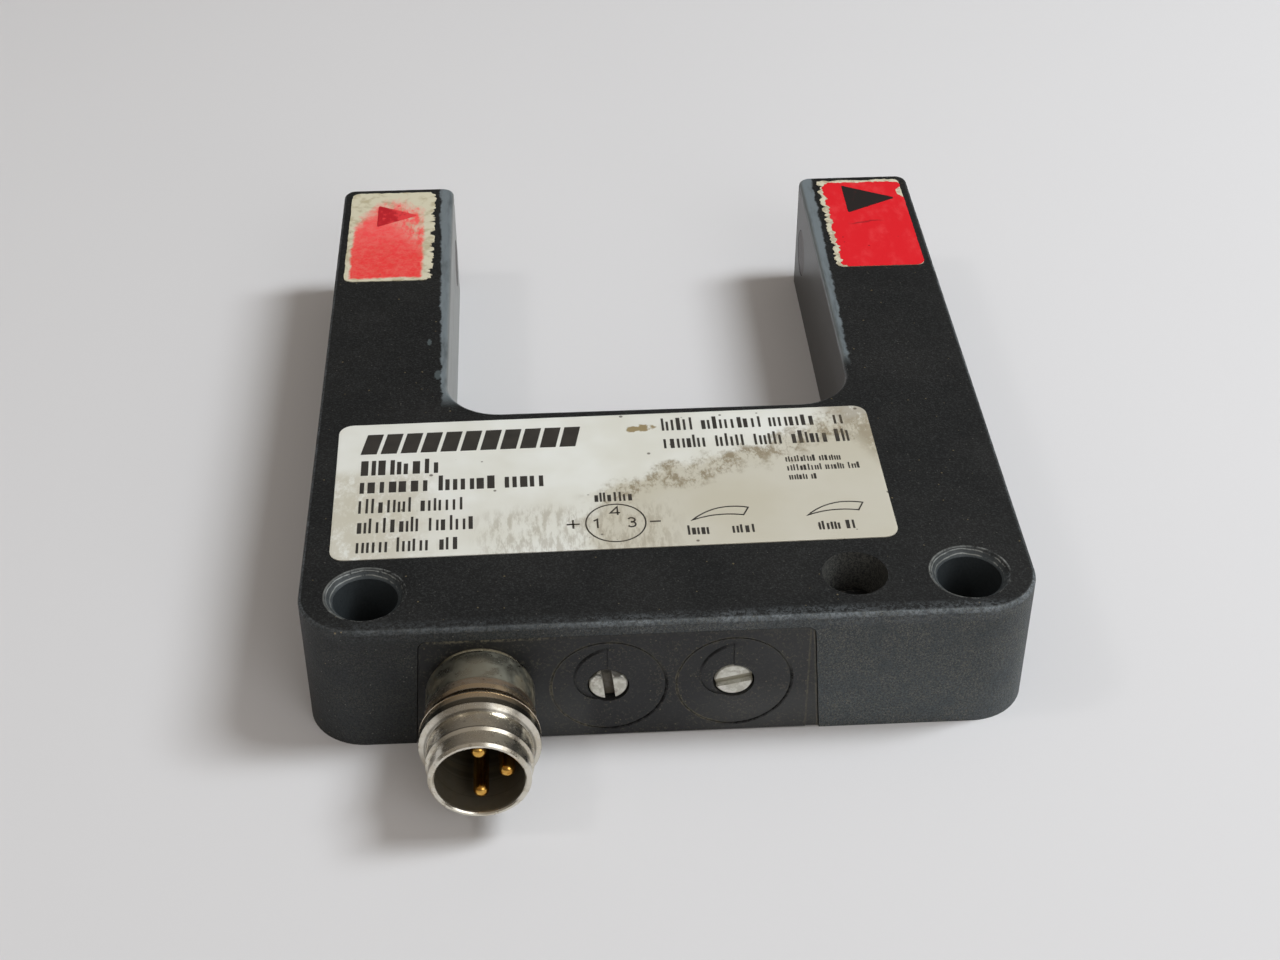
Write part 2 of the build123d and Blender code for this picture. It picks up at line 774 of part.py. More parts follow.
def make_optics(side, role, package_name):
    """Window, lens, aperture, carrier, optical package and its leads in one arm."""
    lens_front = wall + window_flange_thickness + gap
    aperture_front = lens_front + lens_rim + lens_dome + 2 * gap
    package_front = aperture_front + aperture_thickness + 4 * gap
    package_back = package_front + package_length
    carrier_front = wall + gap
    carrier_back = arm_width - wall - 4 * gap
    lead_depth = package_back + 8 * gap

    with BuildPart() as window:
        with BuildSketch(beam_plane(side, window_recess)):
            Circle(window_radius - gap)
        extrude(amount=wall - window_recess)
        with BuildSketch(beam_plane(side, wall)):
            Circle(window_flange_radius)
        extrude(amount=window_flange_thickness)
    window.part.label = f"{role}_window"
    export_step(window.part, f"parts/{role}_window.step")

    with BuildPart() as lens:
        with BuildSketch(beam_plane(side, lens_front)):
            Circle(window_flange_radius)
        extrude(amount=lens_rim + lens_dome)
        dome_edge = lens.edges().sort_by(Axis.X)[-1 if side > 0 else 0]
        fillet(dome_edge, radius=lens_dome * 0.95)
    lens.part.label = f"{role}_lens"
    export_step(lens.part, f"parts/{role}_lens.step")

    with BuildPart() as aperture:
        with BuildSketch(beam_plane(side, aperture_front)):
            Circle(window_flange_radius)
            Circle(aperture_radius, mode=Mode.SUBTRACT)
        extrude(amount=aperture_thickness)
    aperture.part.label = f"{role}_aperture"
    export_step(aperture.part, f"parts/{role}_aperture.step")

    with BuildPart() as package:
        with BuildSketch(beam_plane(side, package_front)):
            Circle(package_radius)
        extrude(amount=package_back - package_front)
        dome_edge = package.edges().sort_by(Axis.X)[0 if side > 0 else -1]
        fillet(dome_edge, radius=package_radius * 0.85)
        with BuildSketch(beam_plane(side, package_back - package_flange_thickness)):
            Circle(package_flange_radius)
        extrude(amount=package_flange_thickness)
    package.part.label = f"{role}_{package_name}"
    export_step(package.part, f"parts/{role}_{package_name}.step")

    with BuildPart() as leads:
        for offset in (-lead_spacing / 2, lead_spacing / 2):
            lead_y = beam_y + offset
            start_x = side * (slot_width / 2 + package_back)
            drop_x = side * (slot_width / 2 + lead_depth)
            with BuildLine():
                FilletPolyline(
                    (start_x, lead_y, beam_z),
                    (drop_x, lead_y, beam_z),
                    (drop_x, lead_y, board_top),
                    radius=lead_bend_radius,
                )
            with BuildSketch(Plane(origin=(start_x, lead_y, beam_z), z_dir=(side, 0, 0))):
                Circle(lead_radius)
            sweep()
    leads.part.label = f"{role}_leads"
    export_step(leads.part, f"parts/{role}_leads.step")

    with BuildPart() as carrier:
        with BuildSketch(beam_plane(side, carrier_front)):
            Rectangle(carrier_width, 2 * (carrier_top - beam_z))
        extrude(amount=carrier_back - carrier_front)
        # Level underside, standing on the circuit board
        with BuildSketch():
            with Locations((side * (slot_width + arm_width) / 2, beam_y)):
                Rectangle(2 * arm_width, 2 * carrier_width)
        extrude(amount=board_top, mode=Mode.SUBTRACT)
        with BuildSketch(beam_plane(side, wall)):
            Circle(carrier_bore_radius)
        extrude(amount=aperture_front + aperture_thickness - wall + gap, mode=Mode.SUBTRACT)
        with BuildSketch(beam_plane(side, wall)):
            Circle(carrier_back_bore_radius)
        extrude(amount=arm_width - wall, mode=Mode.SUBTRACT)
        # Wider rear part for the package flange, open downwards for the leads
        with BuildSketch(beam_plane(side, package_back - package_flange_thickness - gap)):
            Circle(package_flange_radius + 2 * gap)
        extrude(amount=arm_width - wall, mode=Mode.SUBTRACT)
        with BuildSketch(Plane.XY.offset(board_top)):
            with Locations((side * (slot_width / 2 + carrier_back), beam_y)):
                Rectangle(2 * (carrier_back - package_back), 2 * package_flange_radius)
        extrude(amount=beam_z - board_top, mode=Mode.SUBTRACT)
    carrier.part.label = f"{role}_carrier"
    export_step(carrier.part, f"parts/{role}_carrier.step")


make_optics(-1, "emitter", "led")
make_optics(1, "receiver", "phototransistor")
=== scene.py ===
import json
import math
import random

import bmesh
import bpy
from mathutils import Matrix, Vector, noise


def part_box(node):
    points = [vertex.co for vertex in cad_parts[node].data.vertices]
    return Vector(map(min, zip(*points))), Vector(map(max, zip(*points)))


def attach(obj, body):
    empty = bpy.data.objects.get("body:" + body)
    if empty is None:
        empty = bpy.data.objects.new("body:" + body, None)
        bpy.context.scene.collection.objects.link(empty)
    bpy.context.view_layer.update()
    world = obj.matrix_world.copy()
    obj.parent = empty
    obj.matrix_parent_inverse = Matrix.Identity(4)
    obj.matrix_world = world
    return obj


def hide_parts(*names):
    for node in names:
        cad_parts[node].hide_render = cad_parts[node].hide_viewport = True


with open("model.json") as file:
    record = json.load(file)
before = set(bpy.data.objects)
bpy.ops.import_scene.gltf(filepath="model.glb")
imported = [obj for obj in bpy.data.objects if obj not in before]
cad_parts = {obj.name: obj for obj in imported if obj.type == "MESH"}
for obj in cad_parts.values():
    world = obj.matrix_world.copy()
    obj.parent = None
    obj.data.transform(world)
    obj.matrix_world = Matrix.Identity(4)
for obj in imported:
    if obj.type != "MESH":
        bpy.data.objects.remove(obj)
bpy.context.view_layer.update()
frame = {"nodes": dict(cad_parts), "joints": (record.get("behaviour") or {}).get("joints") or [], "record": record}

# Looks of a fork-type photoelectric sensor. Meshes are in metres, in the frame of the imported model.
# The finishes work in millimetres in that same frame, so wear and dirt sit where the part has them.

MM = 0.001


# --- Places, all from the frame, in millimetres --


def box_mm(node):
    """Lowest and highest corner of a CAD node in millimetres."""
    low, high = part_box(node)
    return low / MM, high / MM


def middle_mm(node):
    """Centre of a CAD node's box in millimetres."""
    low, high = box_mm(node)
    return (low + high) / 2


mounts = {mount["name"]: mount for mount in frame["record"]["mounts"]}
hinges = {joint["name"]: Vector(joint["pos_m"]) / MM for joint in frame["joints"]}

housing_low, housing_high = box_mm("housing")
top_z = housing_high.z
front_y = housing_low.y
half_width = housing_high.x
slot_half = -box_mm("emitter_window")[1].x
slot_end_y = frame["record"]["physics"]["openings"][1]["box_m"][0][1] / MM
nick_places = ((-slot_half - 1.5, slot_end_y + 9.4, 0), (-slot_half - 0.75, slot_end_y + 4.9, 0))

hole_x = mounts["hole_receiver_side"]["pos_m"][0] / MM
hole_radius = mounts["hole_receiver_side"]["dims"]["r_mm"]
rim_radius = hole_radius + 0.5

# The light pipe's foot is wider than the well that it looks out of
well_centre = middle_mm("light_pipe")
well_radius = box_mm("light_pipe")[1].x - well_centre.x - 0.3

# Along the connector, from its rim to its collar. flange_y is the flange's back
connector_axis = Vector(mounts["m8_connector"]["pos_m"]) / MM
nose_radius = mounts["m8_connector"]["dims"]["r_mm"]
nose_half = mounts["m8_connector"]["dims"]["length_mm"] / 2
socket_reach = 3.0
rim_y = box_mm("connector_shell")[0].y
flange_y = connector_axis.y + 2.4
bevel_y = flange_y - 0.45
flange_front_y = flange_y - 1.42
collar_front_y = flange_y + 1.18
step_places = (
    collar_front_y,
    bevel_y,
    flange_front_y,
    connector_axis.y + nose_half,
    connector_axis.y - nose_half,
)

# The panel's right edge leans inwards by panel_lean for each millimetre of height, and a strip that
# lies a little lower runs between strip_x and that edge
panel_low, panel_high = box_mm("connector_panel")
panel_lean = 0.65 / 9.0
strip_x = 9.0

# Each dial pocket's edge is a spiral that draws in by spiral_pull over spiral_sweep
dial_radius = 3.85
spiral_radius = 3.35
spiral_pull = 2.05
spiral_sweep = math.radians(155)
rotor_face_y = box_mm("mode_trimmer_rotor")[0].y
rotor_slot_depth = 0.5
rotor_edge = 1.19

label_centre = middle_mm("type_label")
label_top = box_mm("type_label")[1].z
label_size = (38.5, 15.4)
label_turn = math.radians(0.65)


# --- Colours -------------------------------------


def srgb(red, green, blue):
    """Linear colour from given 0 to 255 values."""
    linear = []
    for value in (red, green, blue):
        share = value / 255
        linear.append(share / 12.92 if share <= 0.04045 else ((share + 0.055) / 1.055) ** 2.4)
    return (*linear, 1.0)


# --- Node graphs ---------------------------------


class Finish:
    """One material's node graph. Places and lengths are millimetres in the part's frame."""

    def __init__(self, name):
        self.material = bpy.data.materials.new(name)
        self.material.use_nodes = True
        self.nodes = self.material.node_tree.nodes
        self.links = self.material.node_tree.links
        self.shader = next(n for n in self.nodes if n.type == "BSDF_PRINCIPLED")
        coordinates = self.nodes.new("ShaderNodeTexCoord")
        self.place = self.vector("SCALE", coordinates.outputs["Object"], Scale=1 / MM)
        self.x, self.y, self.z = self.split(self.place)
        self.facing_x, self.facing_y, self.facing_z = self.split(coordinates.outputs["Normal"])

    def put(self, socket, value):
        """Link value to the socket if it is one, or else set it."""
        if isinstance(value, bpy.types.NodeSocket):
            self.links.new(value, socket)
        else:
            socket.default_value = value

    def split(self, value):
        """The X, Y and Z of a vector socket."""
        node = self.nodes.new("ShaderNodeSeparateXYZ")
        self.put(node.inputs[0], value)
        return node.outputs

    def vector(self, operation, *values, **named):
        """A vector calculation."""
        node = self.nodes.new("ShaderNodeVectorMath")
        node.operation = operation
        for socket, value in zip(node.inputs, values):
            self.put(socket, value)
        for name, value in named.items():
            self.put(node.inputs[name], value)
        return node.outputs["Value" if operation in ("LENGTH", "DISTANCE", "DOT_PRODUCT") else "Vector"]

    def math(self, operation, *values):
        """A number calculation."""
        node = self.nodes.new("ShaderNodeMath")
        node.operation = operation
        for socket, value in zip(node.inputs, values):
            self.put(socket, value)
        return node.outputs[0]

    def add(self, first, *others):
        """Sum."""
        for other in others:
            first = self.math("ADD", first, other)
        return first

    def times(self, first, *others):
        """Product."""
        for other in others:
            first = self.math("MULTIPLY", first, other)
        return first

    def less(self, first, second):
        """Difference."""
        return self.math("SUBTRACT", first, second)

    def most(self, first, *others):
        """Largest."""
        for other in others:
            first = self.math("MAXIMUM", first, other)
        return first

    def size(self, value):
        """Absolute value."""
        return self.math("ABSOLUTE", value)

    def opposite(self, value):
        """One minus value."""
        return self.math("SUBTRACT", 1.0, value)

    def above(self, value, level, soft):
        """Smooth step: 0 below level - soft, 1 above level + soft."""
        node = self.nodes.new("ShaderNodeMapRange")
        node.interpolation_type = "SMOOTHSTEP"
        self.put(node.inputs["Value"], self.less(value, level))
        node.inputs["From Min"].default_value = -soft
        node.inputs["From Max"].default_value = soft
        return node.outputs["Result"]

    def below(self, value, level, soft):
        """Smooth step: 1 below level - soft, 0 above level + soft."""
        return self.opposite(self.above(value, level, soft))

    def between(self, value, low, high, soft):
        """1 from low to high, with soft ends."""
        return self.times(self.above(value, low, soft), self.below(value, high, soft))

    def noise(self, scale, detail=3.0, roughness=0.5, stretch=(1, 1, 1), seed=0):
        """Fractal noise about 0.5, with scale in cycles per millimetre."""
        moved = self.vector("MULTIPLY_ADD", self.place, stretch, (17.3 * seed, 9.1 * seed, 5.7 * seed))
        node = self.nodes.new("ShaderNodeTexNoise")
        self.put(node.inputs["Vector"], moved)
        node.inputs["Scale"].default_value = scale
        node.inputs["Detail"].default_value = detail
        node.inputs["Roughness"].default_value = roughness
        return node.outputs["Fac"]

    def specks(self, scale, radius, share, seed=0):
        """Scattered round specks: share of the cells hold one, of up to radius cells across."""
        moved = self.vector("ADD", self.place, (31.7 * seed, 3.9 * seed, 12.1 * seed))
        node = self.nodes.new("ShaderNodeTexVoronoi")
        self.put(node.inputs["Vector"], moved)
        node.inputs["Scale"].default_value = scale
        luck = self.split(node.outputs["Color"])
        near = self.below(node.outputs["Distance"], self.times(radius, luck[1]), 0.04)
        return self.times(near, self.above(luck[0], 1.0 - share, 0.005))

    def distance(self, centre, across=(1, 1, 0)):
        """Distance from a point, scaled by across. A 0 in it gives the distance from a line."""
        offset = self.vector("SUBTRACT", self.place, tuple(centre))
        return self.vector("LENGTH", self.vector("MULTIPLY", offset, across))

    def mix(self, first, second, mask):
        """Colour from first at mask 0 to second at mask 1."""
        node = self.nodes.new("ShaderNodeMix")
        node.data_type = "RGBA"
        self.put(node.inputs["Factor"], mask)
        self.put(node.inputs[6], first)
        self.put(node.inputs[7], second)
        return node.outputs[2]

    def blend(self, first, second, mask):
        """Number from first at mask 0 to second at mask 1."""
        return self.add(self.times(first, self.opposite(mask)), self.times(second, mask))

    def relief(self, height, depth):
        """Bump from a height of 0 to 1, depth millimetres high."""
        node = self.nodes.new("ShaderNodeBump")
        node.inputs["Distance"].default_value = depth * MM
        self.put(node.inputs["Height"], height)
        self.links.new(node.outputs["Normal"], self.shader.inputs["Normal"])

    def shade(self, **sockets):
        """Set or link the shader's sockets. An underscore in a name stands for a space."""
        for name, value in sockets.items():
            self.put(self.shader.inputs[name.replace("_", " ")], value)
        return self.material


# --- Finishes of the outside ---------------------

coat_black = srgb(17, 18, 19)
bare_metal = srgb(172, 175, 172)
rubbed_metal = srgb(120, 129, 134)
edge_grey = srgb(118, 124, 128)
dust_brown = srgb(140, 126, 94)
dust_grey = srgb(120, 118, 112)


def hole_wear(f, at_top):
    """Turned rings, bare in places, in the countersinks of the mounting holes, and the holes' walls. More of the
    rings show bare towards the upper left and back, a painted highlight.
    """
    uneven = f.times(f.less(f.noise(0.5, 2.0, seed=16), 0.5), 0.3)
    spots = f.noise(1.4, 6.0, 0.8, seed=4)
    rings = []
    bores = []
    for side in (-1, 1):
        radius = f.distance((side * hole_x, 0, 0))
        groove = f.math("PINGPONG", f.add(radius, uneven, -hole_radius - 0.03), 0.12)
        lines = f.above(groove, 0.095, 0.02)
        # Painted highlight: bare rings become more common towards the upper left and back
        lean = f.add(f.times(f.less(f.x, side * hole_x), -0.24), f.times(f.y, 0.16), 0.5)
        bare = f.above(spots, f.blend(0.56, 0.43, lean), 0.09)
        inside_rim = f.times(f.between(radius, hole_radius + 0.02, rim_radius + 0.03, 0.03), at_top)
        lip = f.times(f.between(radius, rim_radius - 0.03, rim_radius + 0.09, 0.03), at_top, 0.6)
        rings += [f.times(inside_rim, f.blend(0.08, 1.0, lines), bare), f.times(lip, bare)]
        bores.append(f.below(radius, hole_radius + 0.3, 0.2))
    return f.most(*rings), f.most(*bores)


def housing_coat():
    """Fine matte powder coat, rubbed to grey metal along the slot and speckled along the edges."""
    f = Finish("housing_coat")
    grain = f.noise(7.0, 2.0)
    cloud = f.noise(0.22, 4.0, seed=1)
    colour = f.mix(coat_black, srgb(25, 25, 25), f.above(cloud, 0.52, 0.2))

    # Dust lies as single grains on the top, and as a fine grey-brown powder on the front. The front's grey veil,
    # lighter than the top and rising to the right, is also painted light from the front right
    front_face = f.times(f.above(f.times(f.facing_y, -1.0), 0.3, 0.3), f.below(f.y, front_y + 4.2, 0.4))
    # Painted light: the front's veil grows stronger towards the right
    front_dust_and_light = f.times(front_face, f.blend(0.35, 1.0, f.above(f.x, -4.0, 16.0)))
    low_down = f.below(f.z, 4.5, 5.0)
    pits = f.noise(7.0, 4.0, 0.75, seed=15)
    coverage = f.times(f.blend(0.36, 0.8, f.above(pits, 0.5, 0.11)), f.blend(0.84, 1.2, low_down))
    colour = f.mix(colour, srgb(86, 93, 97), f.times(front_dust_and_light, coverage))
    powder = f.above(f.noise(11.0, 3.0, 0.8, seed=2), 0.56, 0.05)
    patchy = f.above(f.noise(0.5, 3.0, seed=9), 0.4, 0.25)
    colour = f.mix(colour, srgb(143, 138, 122), f.times(front_dust_and_light, powder, patchy, 0.5))
    pale = f.above(f.noise(7.0, 4.0, 0.8, seed=14), 0.56, 0.1)
    colour = f.mix(colour, srgb(70, 72, 72), f.times(pale, f.blend(0.3, 0.5, cloud)))
    grains = f.specks(2.3, 0.17, 0.14, seed=1)
    colour = f.mix(colour, dust_brown, f.times(grains, f.blend(0.45, 1.0, front_face)))
    fine_grains = f.specks(5.0, 0.25, 0.12, seed=2)
    colour = f.mix(colour, dust_grey, f.times(fine_grains, f.blend(0.35, 0.75, front_face)))

    # Rounded edges, found by their slanting normals, rubbed to a bluish grey speckle
    slant = f.between(f.facing_z, 0.12, 0.93, 0.05)
    at_top = f.above(f.z, top_z - 0.45, 0.05)
    speckle = f.above(f.noise(4.0, 5.0, 0.8, seed=3), 0.51, 0.06)
    patches = f.blend(0.4, 1.0, f.above(f.noise(0.45, 3.0, seed=11), 0.45, 0.15))
    front_part = f.times(f.below(f.y, front_y + 3.8, 0.4), f.blend(0.35, 1.0, f.above(f.x, -5.0, 6.0)))
    behind_slot = f.between(f.y, slot_end_y - 1.2, slot_end_y + 0.6, 0.2)
    slot_part = f.times(behind_slot, f.below(f.size(f.x), slot_half - 2.0, 1.0))
    outer_part = f.times(f.above(f.size(f.x), half_width - 0.6, 0.1), 0.6)
    worn = f.most(front_part, slot_part, outer_part, 0.25)
    line = f.times(slant, at_top, f.blend(0.2, 1.0, speckle), patches, worn)
    close_front = f.times(f.below(f.y, front_y + 0.9, 0.35), f.above(f.z, top_z - 0.9, 0.35))
    line = f.most(line, f.times(close_front, speckle, front_part, patches, 0.4))
    colour = f.mix(colour, edge_grey, f.times(line, 0.85))

    # Two light nicks on the emitter arm
    for nick, reach in zip(nick_places, (0.4, 0.6)):
        off = f.add(f.distance(nick, (2.4, 1.0, 0)), f.times(f.less(grain, 0.5), 0.5))
        mark = f.times(f.below(off, reach, 0.12), f.above(f.facing_z, 0.8, 0.1))
        colour = f.mix(colour, srgb(92, 102, 104), f.times(mark, 0.6))

    # Strip rubbed smooth along the slot, wider towards the tips, with a bright line on the bend: bare metal and a
    # painted highlight
    inwards = f.less(f.size(f.x), slot_half)
    right = f.above(f.x, 0.0, 0.1)
    start_y = f.blend(slot_end_y + 1.6, slot_end_y + 5.4, right)
    along = f.less(f.y, start_y)
    ragged = f.times(f.less(f.noise(0.9, 5.0, 0.65), 0.5), 0.8)
    width = f.add(f.times(along, 0.022), f.blend(0.42, 0.5, right), ragged)
    strip = f.times(f.above(f.less(width, inwards), 0.0, 0.09), f.above(along, 0.0, 1.2), at_top)
    strip = f.times(strip, f.above(f.facing_z, 0.3, 0.2))
    smear = f.above(f.noise(0.9, 5.0, 0.6, stretch=(1.6, 0.3, 1.0), seed=12), 0.42, 0.14)
    colour = f.mix(colour, rubbed_metal, f.times(strip, f.blend(0.45, 0.9, smear)))
    bend_wear_and_highlight = f.times(f.below(inwards, 0.36, 0.06), strip, f.between(f.facing_z, 0.3, 0.92, 0.1))
    colour = f.mix(colour, srgb(150, 156, 158), f.times(bend_wear_and_highlight, f.blend(0.2, 0.7, smear)))

    # The slot walls are polished by what passes through; the one that faces right is painted lighter, a painted
    # reflection of the bright surroundings at a grazing angle
    wall = f.times(f.below(f.size(f.x), slot_half + 0.1, 0.05), f.above(f.size(f.facing_x), 0.7, 0.2))
    painted_wall_reflection = f.times(wall, f.above(f.facing_x, 0.0, 0.1))
    colour = f.mix(colour, srgb(131, 134, 131), f.times(painted_wall_reflection, f.blend(0.6, 0.9, smear)))

    # Dust on the wall of the status light's well, with painted light that lifts the wall out of its shade
    well = f.below(f.distance((well_centre.x, well_centre.y, 0)), well_radius, 0.1)
    well_dust_and_light = f.mix(srgb(58, 59, 59), srgb(96, 96, 92), f.above(pits, 0.5, 0.1))
    colour = f.mix(colour, well_dust_and_light, f.times(well, f.below(f.facing_z, 0.5, 0.2)))

    # Mounting holes, smooth inside, with bare rings at the rim that brighten in patches as painted glints
    ring, bore = hole_wear(f, at_top)
    colour = f.mix(colour, f.mix(srgb(36, 41, 45), srgb(72, 77, 79), pits), bore)
    painted_glints = f.above(f.noise(0.9, 3.0, seed=17), 0.5, 0.1)
    colour = f.mix(colour, bare_metal, f.times(ring, f.blend(0.5, 0.85, painted_glints)))

    smooth = f.most(strip, wall, bore)
    bright = f.most(ring, f.times(bend_wear_and_highlight, 0.6))
    roughness = f.blend(f.blend(0.52, 0.62, cloud), 0.32, smooth)
    rough_cast = f.add(f.times(grain, 1.6), f.times(pits, 1.2, front_dust_and_light))
    f.relief(f.add(f.times(rough_cast, f.blend(1.0, 0.08, smooth)), f.times(grains, 0.8)), 0.02)
    return f.shade(
        Base_Color=colour, Roughness=roughness, Metallic=f.times(bright, 0.7), Specular_IOR_Level=0.25
    )


def spiral_painted_shadow(f, hinge, radius):
    """Painted shadow in a dial pocket: a dark band along its spiral edge, left of twelve o'clock."""
    turn = f.math("ARCTAN2", f.less(hinge.x, f.x), f.less(f.z, hinge.z))
    spiral = f.less(spiral_radius, f.times(turn, spiral_pull / spiral_sweep))
    below_edge = f.less(spiral, radius)
    width = f.blend(0.34, 0.1, f.above(turn, 0.9, 0.8))
    near_edge = f.times(f.above(below_edge, -0.03, 0.04), f.below(below_edge, width, 0.09))
    # Noise breaks up the painted shadow band
    worn = f.blend(0.6, 1.0, f.above(f.noise(2.5, 4.0, seed=13), 0.42, 0.1))
    return f.times(near_edge, f.between(turn, 0.1, 1.1, 0.35), worn)


def black_plastic():
    """Smooth moulded plastic, with dust on the panel and in its dial grooves and seams, and painted shadow in the
    dial pockets and grooves.
    """
    f = Finish("black_plastic")
    cloud = f.noise(0.5, 4.0, seed=1)
    colour = f.mix(srgb(35, 36, 38), srgb(41, 42, 43), f.above(cloud, 0.5, 0.2))

    # A veil of fine dust and painted light from the floor below on the panel, stronger low down at both ends
    low_down = f.below(f.z, 3.8, 2.2)
    low_right = f.times(low_down, f.above(f.x, 2.0, 3.0))
    low_left = f.times(low_down, f.below(f.x, -5.6, 0.8), 0.75)
    veil = f.most(low_right, low_left, f.times(f.above(f.x, 5.0, 4.0), 0.4))
    colour = f.mix(colour, srgb(64, 65, 65), f.times(veil, f.below(f.y, panel_low.y + 1.0, 0.2)))

    grit = f.above(f.noise(3.5, 5.0, 0.7, seed=2), 0.52, 0.08)
    powder = f.above(f.noise(6.0, 3.0, 0.7, seed=5), 0.6, 0.06)
    dust = f.times(powder, f.above(f.noise(0.45, 3.0, seed=6), 0.42, 0.2), 0.45)
    dust = f.most(dust, f.times(f.specks(3.0, 0.2, 0.14, seed=3), 0.8))

    # Each dial's groove is filled with dust except at its lower right, which is painted near black as a painted
    # shadow
    painted_shade = 0.0
    for hinge in hinges.values():
        radius = f.distance(hinge, (1, 0, 1))
        groove = f.between(radius, dial_radius - 0.16, dial_radius + 0.06, 0.05)
        lean = f.less(f.times(f.less(f.z, hinge.z), 0.9), f.less(f.x, hinge.x))
        shadowed_groove_part = f.below(lean, -2.8, 1.0)
        low_left = f.below(f.add(f.less(f.x, hinge.x), f.less(f.z, hinge.z)), -2.2, 1.6)
        filled = f.times(groove, f.opposite(shadowed_groove_part), f.blend(0.15, 1.0, grit))
        dust = f.most(dust, f.times(filled, f.blend(0.45, 1.0, low_left)))
        painted_groove_shadow = f.times(f.between(radius, dial_radius - 0.1, dial_radius + 0.12, 0.05), shadowed_groove_part)
        painted_shade = f.most(painted_shade, spiral_painted_shadow(f, hinge, radius), f.times(painted_groove_shadow, f.blend(0.5, 1.0, grit)))

    # Dust in the seams at the top, above all over the connector, and at the right-hand strip
    seam = f.above(f.z, panel_high.z - 0.2, 0.1)
    near_connector = f.below(f.size(f.less(f.x, connector_axis.x)), 4.5, 2.0)
    dust = f.most(dust, f.times(seam, f.blend(0.15, 1.0, near_connector), grit))
    right_edge = f.less(panel_high.x, f.times(f.less(f.z, panel_low.z), panel_lean))
    for line_x in (f.less(right_edge, 0.06), strip_x):
        line = f.below(f.size(f.less(f.x, line_x)), 0.07, 0.04)
        dust = f.most(dust, f.times(line, f.blend(0.3, 1.0, grit), 0.7))
    colour = f.mix(colour, srgb(134, 128, 109), f.times(dust, 0.56))
    # Painted shade: near black along the pockets' spiral edges and the grooves' lower right
    colour = f.mix(colour, srgb(4, 4, 4), f.times(painted_shade, 0.95))
    f.relief(f.add(f.noise(5.0, 3.0), f.times(dust, 1.5)), 0.01)
    return f.shade(
        Base_Color=colour,
        Roughness=f.blend(f.blend(0.4, 0.52, cloud), 0.95, f.most(dust, painted_shade)),
        Specular_IOR_Level=0.32,
    )


def insert_plastic():
    """Brown-black contact carrier, clouded with dust."""
    f = Finish("insert_plastic")
    cloud = f.noise(1.2, 4.0)
    colour = f.mix(srgb(72, 67, 54), srgb(96, 89, 70), f.above(cloud, 0.5, 0.15))
    f.relief(f.noise(6.0, 3.0, seed=1), 0.02)
    return f.shade(Base_Color=colour, Roughness=f.blend(0.4, 0.7, cloud))


def nickel_plate():
    """Turned and plated shell: fine rings round its axis, brown tarnish in patches, soiled inside."""
    f = Finish("nickel_plate")
    rings = f.noise(9.0, 2.0, stretch=(0.02, 1, 0.02))
    patches = f.noise(0.7, 5.0, 0.65, stretch=(1, 1.4, 1), seed=3)
    tarnish = f.above(patches, 0.52, 0.07)
    behind = f.above(f.y, flange_y, 0.4)
    collar = f.above(f.y, collar_front_y, 0.15)
    colour = f.mix(srgb(222, 217, 204), srgb(192, 181, 160), f.times(tarnish, 0.5))
    # Behind the flange the plate is warmer: tarnish, and a painted orange reflection
    colour = f.mix(colour, srgb(172, 148, 124), f.times(behind, f.blend(0.5, 0.9, tarnish)))
    colour = f.mix(colour, srgb(184, 183, 168), f.times(collar, f.blend(0.9, 1.0, tarnish)))
    sides = f.above(f.size(f.less(f.x, connector_axis.x)), 2.1, 0.7)
    brown = f.times(collar, sides, f.above(f.noise(0.6, 5.0, 0.6, seed=6), 0.5, 0.08))
    colour = f.mix(colour, srgb(126, 106, 70), f.times(brown, 0.5))
    # Painted reflection: a dark olive band on the flange's front part
    painted_dark_reflection = f.between(f.y, flange_front_y + 0.02, flange_y - 0.95, 0.08)
    colour = f.mix(colour, srgb(92, 87, 74), f.times(painted_dark_reflection, 0.85))
    spots = f.specks(2.6, 0.3, 0.22, seed=2)
    colour = f.mix(colour, srgb(84, 68, 44), f.times(spots, f.blend(0.25, 0.5, behind)))

    # Painted shade: a thin dark line behind each step. Painted reflection: a warm orange band on the ring behind
    # the flange and on the flange's rear half
    for step in step_places:
        line = f.below(f.size(f.less(f.y, step + 0.05)), 0.045, 0.03)
        colour = f.mix(colour, srgb(62, 56, 46), f.times(line, f.blend(0.45, 0.8, patches)))
    ring_face = f.between(f.y, flange_y + 0.24, flange_y + 0.62, 0.06)
    rear_half = f.between(f.y, flange_y - 0.92, bevel_y - 0.01, 0.06)
    colour = f.mix(colour, srgb(232, 206, 168), f.times(f.most(ring_face, rear_half), 0.7))

    # Painted shade in the groove behind the flange
    radius = f.distance(connector_axis, (1, 0, 1))
    groove = f.between(f.y, flange_y - 0.1, flange_y + 0.3, 0.05)
    groove = f.times(groove, f.below(radius, nose_radius + 0.04, 0.03))
    colour = f.mix(colour, srgb(58, 52, 42), f.times(groove, 0.75))

    # A painted highlight: a pale line over the top of the collar where it meets the panel. A dull brown film in
    # the socket
    painted_seat_highlight = f.between(f.y, panel_low.y - 0.16, panel_low.y + 0.06, 0.04)
    painted_seat_highlight = f.times(painted_seat_highlight, f.above(f.z, connector_axis.z + 2.2, 0.8), f.blend(0.4, 0.8, patches))
    colour = f.mix(colour, srgb(214, 200, 164), painted_seat_highlight)
    inside = f.times(f.below(radius, socket_reach, 0.04), f.above(f.y, rim_y + 0.18, 0.1))
    colour = f.mix(colour, srgb(88, 82, 66), f.times(inside, 0.92))

    dull = f.add(f.times(tarnish, 0.1), f.times(brown, 0.2), f.times(inside, 0.2))
    f.relief(f.add(rings, f.times(patches, 0.2)), 0.0025)
    return f.shade(
        Base_Color=colour,
        Roughness=f.add(f.blend(0.2, 0.26, behind), dull),
        Metallic=f.opposite(f.most(f.times(inside, 0.75), painted_seat_highlight)),
    )


